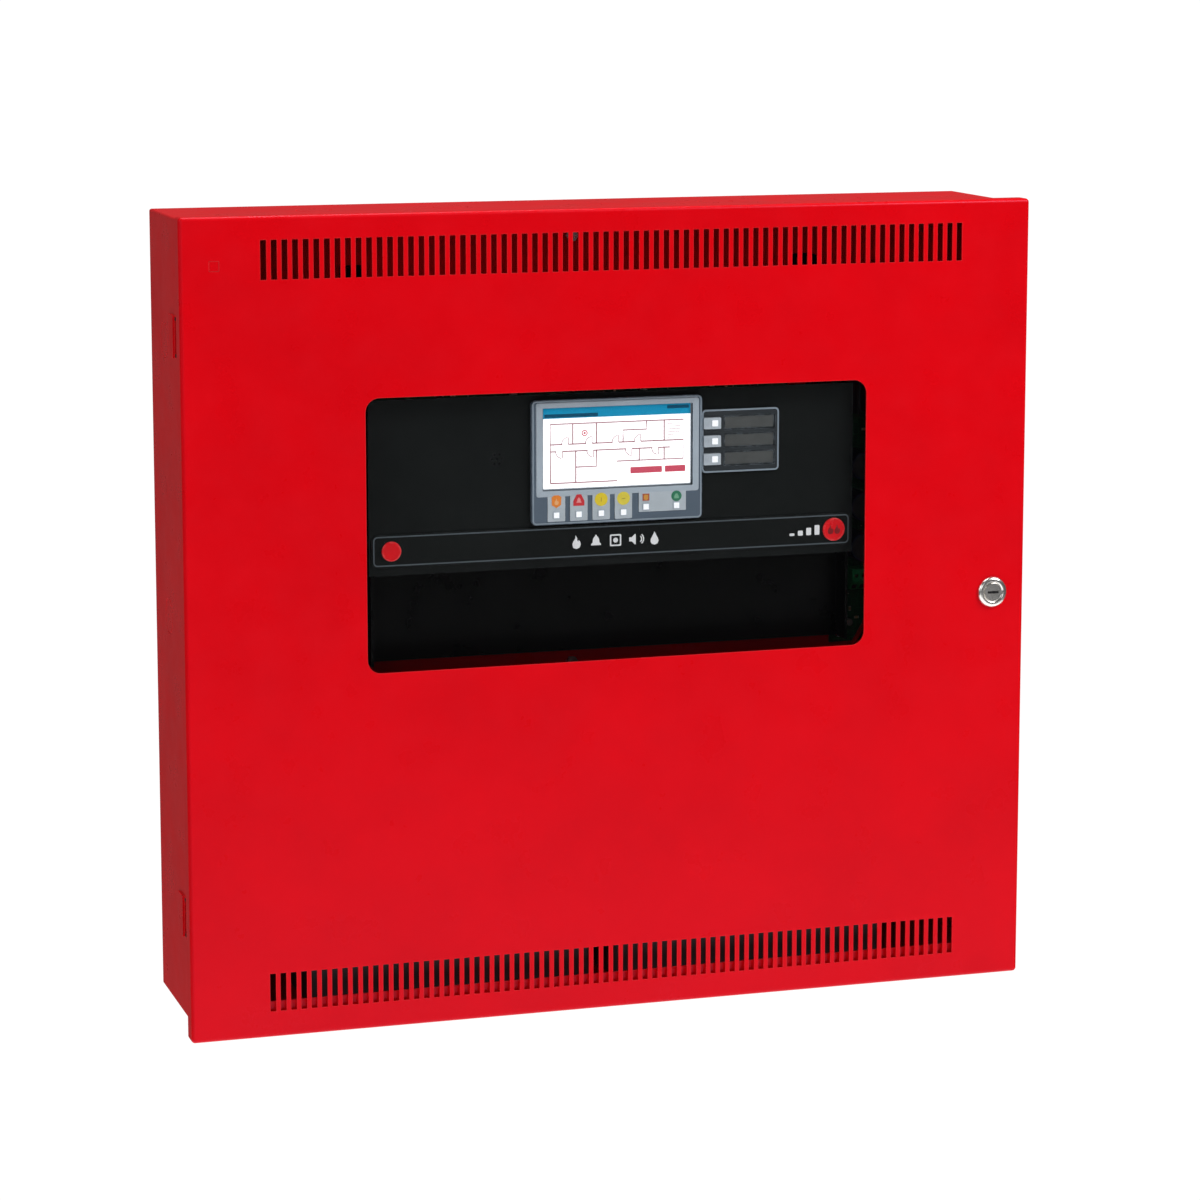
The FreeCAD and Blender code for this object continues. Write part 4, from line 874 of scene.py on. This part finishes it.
def strip():
    """The strip's printed border, its pictograms, and the badges' rims and flames."""
    low, high = box("strip_plate")
    face = low.y
    line = Build()
    line.frame(
        rounded(*grown((low, high), -BORDER_INSET), 2.6 * MM),
        rounded(*grown((low, high), -BORDER_INSET - BORDER_WIDE), 2.0 * MM), face,
        face - 0.12 * MM, 0.05 * MM,
    )
    line.done("strip_border", "panel_black", STRIP_LINE)

    centre = middle((low, high))
    signs = Build()
    front = face - SIGN_THICK
    for place, shape in SIGNS:
        x = centre.x + place * SIGN_PITCH
        signs.prism(placed(shape, x, centre.z, SIGN_SIZE), face, front)
    for reach in (0.55, 0.85):
        x = centre.x + SIGN_PITCH
        arc = [
            (
                x + SIGN_SIZE * (0.45 + reach * math.cos(math.radians(a))),
                centre.z + SIGN_SIZE * reach * math.sin(math.radians(a)),
            )
            for a in range(-50, 51, 10)
        ]
        signs.line(arc, 0.7 * MM, face, front)
    half = SIGN_SIZE * 0.86
    outer = square(centre.x, centre.z, half, 0.8 * MM)
    signs.frame(outer, square(centre.x, centre.z, half * 0.76, 0.4 * MM), face, front)
    signs.prism(disc(centre.x, centre.z, half * 0.42), face, front)
    for i in range(STEPS):
        x = high.x - STEPS_FROM_RIGHT + 5.5 * MM * i
        top = centre.z - (1.4 - 1.5 * i) * MM
        signs.prism(rounded(x, centre.z - 3.0 * MM, x + 3.2 * MM, top, 0.5 * MM, 3), face, front)
    signs.done("strip_pictograms", "panel_black", PALE_PRINT, 30)

    badges = islands("strip_badges")
    rims = Build()
    for pair in badges:
        at, radius = middle(pair), (pair[1].x - pair[0].x) / 2
        rims.frame(
            disc(at.x, at.z, radius * 0.98, 40), disc(at.x, at.z, radius * 0.86, 40),
            pair[0].y, pair[0].y - 0.15 * MM, 0.05 * MM,
        )
    rims.done("badge_rims", "badge_red")
    dark = Build()
    at, face = middle(badges[-1]), badges[-1][0].y
    for side in (-1, 1):
        flame = placed(FLAME, at.x + side * BADGE_FLAME_ASIDE, at.z, 3.0 * MM)
        dark.prism(flame, face, face - 0.12 * MM)
    dark.done("badge_mark", "badge_red", BADGE_DARK, 30)


# ---------------- the lock

LOCK_BARREL = 7.9 * MM
LOCK_THREAD = 1.0 * MM
LOCK_THREAD_MARGIN = 1.4 * MM
KEYWAY_HALVES = (3.3 * MM, 0.66 * MM)
PINS = 5
PIN_FIRST, PIN_PITCH = 0.8, 1.25


def lock_face():
    """A domed lock head with a dished face, a threaded barrel, and its keyway's floor and pins in
    black as painted shade.
    """
    body_low, body_high = box("lock_body")
    plug_low, plug_high = box("lock_plug")
    at = middle((body_low, body_high))
    plug = middle((plug_low, plug_high))
    radius = (body_high.x - body_low.x) / 2
    bore = (plug_high.x - plug_low.x) / 2 + 0.06 * MM
    face = body_low.y
    seat = box("door_panel")[0].y
    inside = body_high.y
    barrel = LOCK_BARREL
    thread_start, thread_end = inside - LOCK_THREAD_MARGIN, seat + LOCK_THREAD_MARGIN
    profile = [(bore, inside - 0.3 * MM), (bore + 0.3 * MM, inside)]
    profile += [(barrel - 0.9 * MM, inside), (barrel - 0.3 * MM, inside - 0.6 * MM)]
    for i in range(int((thread_start - thread_end) / LOCK_THREAD)):
        y = thread_start - LOCK_THREAD * i
        profile += [(barrel - 0.45 * MM, y), (barrel, y - LOCK_THREAD / 2)]
    profile += [(barrel - 0.2 * MM, seat + LOCK_THREAD_MARGIN / 2), (barrel - 0.2 * MM, seat)]
    profile += [(radius - 0.4 * MM, seat), (radius, seat - 0.3 * MM)]
    dome = seat - face - 0.3 * MM
    crown = radius - 2.4 * MM
    for i in range(1, 8):
        a = math.radians(90 * i / 7)
        profile.append(
            (crown + (radius - crown) * math.cos(a), seat - 0.3 * MM - dome * math.sin(a))
        )
    profile += [
        (crown - 0.5 * MM, face + 0.05 * MM), (crown - 0.9 * MM, face + 0.45 * MM),
        (bore + 0.45 * MM, face + 0.7 * MM), (bore, face + 1.0 * MM),
    ]
    head = Build()
    head.turned(profile, at.x, plug.z, 72, closed=True)
    piece = head.done("lock_head", "lock_chrome", smooth=30, body="door")
    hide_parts("lock_body")
    # the keyway's floor and pins are black, painted shade so the keyway reads dark
    key = Build()
    wide, high = KEYWAY_HALVES
    deep = plug_low.y + 1.0 * MM
    key.slab(
        (plug.x - wide, deep, plug.z - high),
        (plug.x + wide, deep + 0.5 * MM, plug.z + high), 0.1 * MM,
    )
    pin = ((0.34 * MM, deep), (0.42 * MM, deep - 0.25 * MM), (0.16 * MM, deep - 0.5 * MM))
    for i in range(PINS):
        key.turned(pin, plug.x - wide + (PIN_FIRST + PIN_PITCH * i) * MM, plug.z, 12)
    key.done("keyway_pins", "lock_chrome", FINISHES["component_black"], 30, body="lock")


# ---------------- inside the cabinet

# the radius of a turned shape's closed end
POINT = 0.1 * MM
CAN_POINT = 0.2 * MM

POLE_PITCH = 5.4 * MM
POLE_GAP = 0.25 * MM
WAY_ACROSS, WAY_ALONG = (0.06, 0.27), (0.22, 0.78)


def terminal_blocks():
    """Screw terminals: stepped bodies with wire ways drawn as black patches of painted shade, and a
    slotted screw for each pole.
    """
    bodies, screws, mouths = Build(), Build(), Build()
    for low, high in islands("field_terminals"):
        tall = high.z - low.z > high.x - low.x
        length, width = high.z - low.z, high.x - low.x
        if not tall:
            length, width = width, length
        poles = max(2, round(length / POLE_PITCH))
        pitch = length / poles
        left_hand = middle((low, high)).x < 0

        def across(share, along, y):
            """A point of the block from its share of the width and place on the length."""
            if tall:
                side = share if left_hand else 1 - share
                return (low.x + width * side, y, low.z + along)
            return (low.x + along, y, low.z + width * share)

        depth = high.y - low.y
        profile = (
            (0.0, high.y), (1.0, high.y), (1.0, low.y), (0.42, low.y),
            (0.34, low.y + depth * 0.10), (0.0, low.y + depth * 0.42),
        )
        for i in range(poles):
            start, end = pitch * i + POLE_GAP / 2, pitch * (i + 1) - POLE_GAP / 2
            rings = [[across(s, a, y) for s, y in profile] for a in (start, end)]
            bodies.loft(rings, 0.25 * MM, 1)
            x, _, z = across(0.70, pitch * (i + 0.5), low.y)
            r = min(pitch, width) * 0.30
            head = (
                (r, low.y + 0.5 * MM), (r, low.y + 0.12 * MM), (r * 0.85, low.y),
                (POINT, low.y),
            )
            screws.turned(head, x, z, 20)
            screws.slab(
                (x - r * 0.8, low.y - 0.01 * MM, z - r * 0.14),
                (x + r * 0.8, low.y + 0.2 * MM, z + r * 0.14),
            )
            # each wire way is a black patch sunk in the face: painted shade where the opening would be
            (s0, s1), (t0, t1) = WAY_ACROSS, WAY_ALONG
            corners = [
                across(s, pitch * (i + t), low.y + depth * (0.42 - 0.94 * s) - 0.02 * MM)
                for s, t in ((s0, t0), (s0, t1), (s1, t1), (s1, t0))
            ]
            mouths.loft([corners, [(x, y + 0.6 * MM, z) for x, y, z in corners]])
    piece = bodies.done("terminal_blocks", "terminal_green", smooth=30)
    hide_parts("field_terminals")
    screws.done("terminal_screws", "pin_steel", smooth=30)
    mouths.done("terminal_wire_way_shade", "component_black", smooth=30)


LEG_PITCH = 1.27 * MM
LEG_REACH, LEG_THICK, LEG_HALF = 1.1 * MM, 0.25 * MM, 0.2 * MM


def chip(bodies, legs, low, high, foot):
    """A chip with gull-wing legs along its two long sides."""
    bodies.slab(low, high, 0.25 * MM, 1)
    wide, tall = high[0] - low[0], high[2] - low[2]
    along, over = (2, 0) if tall >= wide else (0, 2)
    length = high[along] - low[along]
    count = max(3, int(length / LEG_PITCH))
    pitch = length / count
    for i in range(count):
        a = low[along] + pitch * (i + 0.5)
        for side, edge in ((-1, low[over]), (1, high[over])):
            ends = sorted((edge - side * 0.1 * MM, edge + side * LEG_REACH))
            near, far = [0.0, foot - LEG_THICK, 0.0], [0.0, foot, 0.0]
            near[along], far[along] = a - LEG_HALF, a + LEG_HALF
            near[over], far[over] = ends
            legs.slab(near, far)
    bodies.turned(
        ((0.35 * MM, low[1]), (0.35 * MM, low[1] - 0.05 * MM)), low[0] + 1.2 * MM,
        high[2] - 1.2 * MM, 12,
    )


TALL_PART = 5 * MM
RELAY_RIB, RELAY_RIB_PITCH = 0.5 * MM, 6 * MM


def large_components():
    """Chips and relays in place of the board's plain blocks."""
    bodies, legs, covers = Build(), Build(), Build()
    for low, high in islands("board_components"):
        if high.y - low.y < TALL_PART:
            chip(bodies, legs, tuple(low), tuple(high), high.y)
            continue
        covers.slab(tuple(low), tuple(high), 0.7 * MM, 3)
        count = max(2, int((high.z - low.z) / RELAY_RIB_PITCH))
        for i in range(count):
            z = low.z + (high.z - low.z) * (i + 0.5) / count
            covers.slab(
                (low.x + 1.6 * MM, low.y - 0.02 * MM, z - RELAY_RIB),
                (high.x - 1.6 * MM, low.y + 0.4 * MM, z + RELAY_RIB), 0.1 * MM, 1,
            )
        legs.slab(
            (low.x + 0.8 * MM, high.y - 0.5 * MM, low.z - 0.6 * MM),
            (high.x - 0.8 * MM, high.y, high.z + 0.6 * MM), 0.1 * MM, 1,
        )
    piece = bodies.done("board_chips", "component_black", smooth=30)
    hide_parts("board_components")
    covers.done("board_relays", "component_black", smooth=30)
    legs.done("component_legs", "terminal_tin", smooth=30)


CAN_SCORES = (20, 80, 140)


def capacitors():
    """Cans with a rolled groove, a sleeve that stops short and a scored top."""
    sleeves, tops = Build(), Build()
    for low, high in islands("power_capacitors"):
        at = middle((low, high))
        r = (high.x - low.x) / 2
        sleeve = (
            (r * 0.94, high.y), (r, high.y - 0.5 * MM), (r, high.y - 2.2 * MM),
            (r * 0.93, high.y - 3.0 * MM), (r, high.y - 3.8 * MM), (r, low.y + 0.6 * MM),
            (r * 0.95, low.y + 0.1 * MM), (r * 0.82, low.y + 0.1 * MM),
        )
        sleeves.turned(sleeve, at.x, at.z)
        top = (
            (r * 0.86, low.y + 0.8 * MM), (r * 0.86, low.y + 0.06 * MM),
            (r * 0.80, low.y + 0.02 * MM), (CAN_POINT, low.y + 0.02 * MM),
        )
        tops.turned(top, at.x, at.z)
        for angle in CAN_SCORES:
            a = math.radians(angle)
            dx, dz = math.cos(a) * r * 0.6, math.sin(a) * r * 0.6
            score = [(at.x - dx, at.z - dz), (at.x + dx, at.z + dz)]
            tops.line(score, 0.4 * MM, low.y + 0.1 * MM, low.y)
    piece = sleeves.done("capacitor_sleeves", "component_black", SLEEVE, 30)
    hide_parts("power_capacitors")
    tops.done("capacitor_tops", "component_black", CAN_TOP, 30)


KINDS = (
    # kind, width, height and depth in mm, share
    ("chip", 6.0, 10.0, 1.6, 0.10),
    ("chip", 10.0, 10.0, 1.4, 0.05),
    ("plug", 6.0, 14.0, 7.0, 0.05),
    ("can", 5.0, 5.0, 6.0, 0.10),
    ("small", 3.2, 1.6, 0.7, 0.40),
    ("small", 1.6, 3.2, 0.7, 0.30),
)
BOARDS = (("zone_board", 260), ("main_board", 700), ("power_board", 200))
TALL_NODES = (
    "field_terminals", "board_components", "power_capacitors", "board_fixings",
    "board_standoffs", "earth_stud",
)
WIDE_NODES = ("power_heatsink", "transformer_core", "transformer_winding")
PART_MARGIN = 1.6 * MM
BOARD_EDGE = 2.5 * MM
GRID = 1.27 * MM
PLUG_WALL = 0.9 * MM
PLUG_FLOOR = 1.5 * MM
PLUG_PINS = 4
CAN_BASE = 0.8 * MM
END_CAP = 0.22


def small_plug(plugs, pins, x, z, w, h, d, face):
    """An open-topped socket with a row of pins."""
    for x0, z0, x1, z1, deep in (
        (x, z, x + PLUG_WALL, z + h, d), (x + w - PLUG_WALL, z, x + w, z + h, d),
        (x, z, x + w, z + PLUG_WALL, d), (x, z + h - PLUG_WALL, x + w, z + h, d),
        (x, z, x + w, z + h, PLUG_FLOOR),
    ):
        plugs.slab((x0, face - deep, z0), (x1, face, z1), 0.15 * MM, 1)
    for i in range(PLUG_PINS):
        pin = z + (2.4 + 3.0 * i) * MM
        pins.slab(
            (x + w / 2 - 0.3 * MM, face - d * 0.8, pin - 0.3 * MM),
            (x + w / 2 + 0.3 * MM, face - MM, pin + 0.3 * MM), 0.1 * MM, 1,
        )


def small_can(bases, cans, x, z, w, h, d, face):
    """A surface-mount can on its square base."""
    r = w / 2
    bases.slab((x, face - CAN_BASE, z), (x + w, face, z + h), 0.3 * MM, 1)
    profile = (
        (r * 0.92, face - CAN_BASE), (r * 0.84, face - 1.4 * MM),
        (r * 0.92, face - 2.0 * MM), (r * 0.92, face - d + 0.4 * MM), (r * 0.82, face - d),
        (CAN_POINT, face - d),
    )
    cans.turned(profile, x + r, z + r, 20)


def small_block(bodies, caps, x, z, w, h, d, face):
    """A ceramic part with a metal cap on each end."""
    along = 0 if w > h else 2
    start, end = ((x, x + w), (z, z + h))[along // 2]
    cap = END_CAP * max(w, h)
    for build, a, b in (
        (bodies, start + cap, end - cap), (caps, start, start + cap),
        (caps, end - cap, end),
    ):
        low, high = [x, face - d, z], [x + w, face, z + h]
        low[along], high[along] = a, b
        build.slab(low, high, 0.12 * MM, 1)


def small_parts():
    """Surface parts scattered over the boards wherever nothing larger stands."""
    taken = [pair for node in TALL_NODES for pair in islands(node)]
    taken += [box(node) for node in WIDE_NODES]
    ribbon = box("display_ribbon")
    taken.append((ribbon[0] - Vector((2, 0, 2)) * MM, ribbon[1]))

    def free(x0, z0, x1, z1):
        return all(
            x1 < low.x - PART_MARGIN
            or x0 > high.x + PART_MARGIN
            or z1 < low.z - PART_MARGIN
            or z0 > high.z + PART_MARGIN
            for low, high in taken
        )

    chips, legs, ceramics, plugs = Build(), Build(), Build(), Build()
    weights = [k[4] for k in KINDS]
    for board, tries in BOARDS:
        low, high = box(board)
        face = low.y
        for _ in range(tries):
            kind, w, h, d, _ = RANDOM.choices(KINDS, weights)[0]
            w, h, d = w * MM, h * MM, d * MM
            x = RANDOM.uniform(low.x + BOARD_EDGE, high.x - w - BOARD_EDGE)
            z = RANDOM.uniform(low.z + BOARD_EDGE, high.z - h - BOARD_EDGE)
            x, z = round(x / GRID) * GRID, round(z / GRID) * GRID
            if not free(x, z, x + w, z + h):
                continue
            taken.append((Vector((x, face - d, z)), Vector((x + w, face, z + h))))
            if kind == "chip":
                near = (x + 1.2 * MM, face - d, z)
                far = (x + w - 1.2 * MM, face - 0.1 * MM, z + h)
                chip(chips, legs, near, far, face)
            elif kind == "plug":
                small_plug(plugs, legs, x, z, w, h, d, face)
            elif kind == "can":
                small_can(chips, legs, x, z, w, h, d, face)
            else:
                small_block(ceramics, legs, x, z, w, h, d, face)
    chips.done("small_chips", "component_black", smooth=30)
    legs.done("small_metal", "terminal_tin", smooth=30)
    ceramics.done("small_ceramics", "component_black", CERAMIC, 30)
    plugs.done("board_plugs", "component_black", CONNECTOR, 30)


LID_TALL = 17.0 * MM
CASE_CORNER = 4.0 * MM
LID_RIBS = 9
LABEL_SIDE, LABEL_BELOW, LABEL_ABOVE = 22 * MM, 8 * MM, 14 * MM


def battery(node):
    """A sealed battery: case, grooved seam, ribbed lid and a blank label."""
    low, high = box(node)
    seam = high.z - LID_TALL

    def ring(z, inset, radius):
        outline = rounded(low.x + inset, low.y + inset, high.x - inset, high.y - inset, radius)
        return [(x, y, z) for x, y in outline]

    case = Build()
    r = CASE_CORNER
    case.loft(
        [
            ring(low.z, 1.5 * MM, r - 1.5 * MM),
            ring(low.z + 0.5 * MM, 0.6 * MM, r - 0.6 * MM),
            ring(low.z + 1.8 * MM, 0.2 * MM, r), ring(seam - 0.8 * MM, 0.2 * MM, r),
            ring(seam - 0.8 * MM, 1.0 * MM, r - 0.8 * MM),
            ring(seam, 1.0 * MM, r - 0.8 * MM), ring(seam, 0.05 * MM, r),
            ring(high.z - 1.8 * MM, 0.35 * MM, r),
            ring(high.z - 0.5 * MM, 0.9 * MM, r - 0.5 * MM),
            ring(high.z, 2.0 * MM, r - 1.6 * MM),
        ]
    )
    span = high.x - low.x
    for i in range(LID_RIBS):
        x = low.x + span * (0.10 + 0.80 * i / (LID_RIBS - 1))
        case.slab(
            (x - 0.7 * MM, low.y + 0.02 * MM, seam + 3 * MM),
            (x + 0.7 * MM, low.y + 0.8 * MM, high.z - 4 * MM), 0.2 * MM, 1,
        )
    piece = case.done(node + "_case", "battery_case", smooth=35)
    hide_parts(node)

    label = Build()
    bottom, top = box("battery_strap")[1].z + LABEL_BELOW, seam - LABEL_ABOVE
    outline = rounded(low.x + LABEL_SIDE, bottom, high.x - LABEL_SIDE, top, 2 * MM)
    label.prism(outline, low.y + 0.25 * MM, low.y + 0.1 * MM)
    label.done(node + "_label", "battery_case", LABEL_GREY)


# ---------------- everything in turn

screen()
housing()
marks()
for number in (1, 2, 3):
    key_details(number)
strip()
lock_face()
terminal_blocks()
large_components()
capacitors()
small_parts()
battery("battery_left")
battery("battery_right")


# ---------------- floor, light and camera

FLOOR_DROP = 0.60
FLOOR_SIDE = 1.6
FLOOR_FRONT = -2.7
FLOOR_BACK = 1.0
FLOOR_GLOW = 0.97
SURROUND_LIGHT = 0.10
SURROUND_SEEN = 1.05
SOFTBOXES = (
    # name, place, aim, width, height, watts
    ("key", (1.45, -1.35, 1.55), (0.16, -0.1, -0.05), 1.1, 1.1, 44),
    ("front", (-0.95, -2.4, 0.62), (0.0, 0.0, 0.05), 0.9, 0.9, 6),
    ("fill", (-2.2, -1.0, 0.9), (-0.2, 0.0, 0.0), 1.4, 1.4, 11),
    ("top", (-0.1, 0.1, 2.0), (0.0, 0.0, 0.0), 1.6, 1.0, 26),
)
CAMERA_AT = (-0.6756, -2.2335, 0.4062)
CAMERA_TURN = 17.38
CAMERA_DOWN = 8.71
CAMERA_LENS = 112.0
CAMERA_SHIFT = -0.08
SENSOR_WIDTH = 36.0


def pale_floor():
    """A wide pale floor well below the panel, which hangs on a wall."""
    z = cad_low.z - FLOOR_DROP
    corners = (
        (-FLOOR_SIDE, FLOOR_FRONT), (FLOOR_SIDE, FLOOR_FRONT), (FLOOR_SIDE, FLOOR_BACK),
        (-FLOOR_SIDE, FLOOR_BACK),
    )
    mesh = bpy.data.meshes.new("floor")
    mesh.from_pydata([(x, y, z) for x, y in corners], [], [(0, 1, 2, 3)])
    ground = bpy.data.objects.new("floor", mesh)
    bpy.context.scene.collection.objects.link(ground)
    f = Finish("floor", 0.8, 0.0, 0.1)
    f.colour(f.mix(f.drift(0.5), (0.50, 0.50, 0.50), (0.52, 0.52, 0.52)))
    f.shader.inputs["Emission Color"].default_value = (1.0, 1.0, 1.0, 1.0)
    f.shader.inputs["Emission Strength"].default_value = FLOOR_GLOW
    mesh.materials.append(f.material)


def room_light():
    """A soft white surround that is dimmer as light than it looks behind the panel."""
    world = bpy.data.worlds.new("surround")
    world.use_nodes = True
    bpy.context.scene.world = world
    nodes, links = world.node_tree.nodes, world.node_tree.links
    nodes.clear()
    out = nodes.new("ShaderNodeOutputWorld")
    mix = nodes.new("ShaderNodeMixShader")
    path = nodes.new("ShaderNodeLightPath")
    links.new(path.outputs["Is Camera Ray"], mix.inputs["Fac"])
    for socket, strength in ((1, SURROUND_LIGHT), (2, SURROUND_SEEN)):
        white = nodes.new("ShaderNodeBackground")
        white.inputs["Color"].default_value = (1.0, 1.0, 1.0, 1.0)
        white.inputs["Strength"].default_value = strength
        links.new(white.outputs[0], mix.inputs[socket])
    links.new(mix.outputs[0], out.inputs["Surface"])


def softbox(name, at, towards, width, height, power):
    lamp = bpy.data.lights.new(name, "AREA")
    lamp.shape = "RECTANGLE"
    lamp.size, lamp.size_y = width, height
    lamp.energy = power
    thing = bpy.data.objects.new(name, lamp)
    thing.location = at
    thing.rotation_euler = (Vector(towards) - Vector(at)).to_track_quat("-Z", "Y").to_euler()
    bpy.context.scene.collection.objects.link(thing)


def camera():
    """Seen from the left and slightly above, through a long lens."""
    data = bpy.data.cameras.new("camera")
    data.lens = CAMERA_LENS
    data.sensor_width = SENSOR_WIDTH
    data.shift_y = CAMERA_SHIFT
    thing = bpy.data.objects.new("camera", data)
    thing.location = CAMERA_AT
    thing.rotation_euler = (math.radians(90 - CAMERA_DOWN), 0.0, math.radians(-CAMERA_TURN))
    bpy.context.scene.collection.objects.link(thing)
    bpy.context.scene.camera = thing


pale_floor()
room_light()
for softbox_values in SOFTBOXES:
    softbox(*softbox_values)
camera()
bpy.context.scene.view_settings.view_transform = "Standard"
bpy.context.scene.view_settings.look = "None"
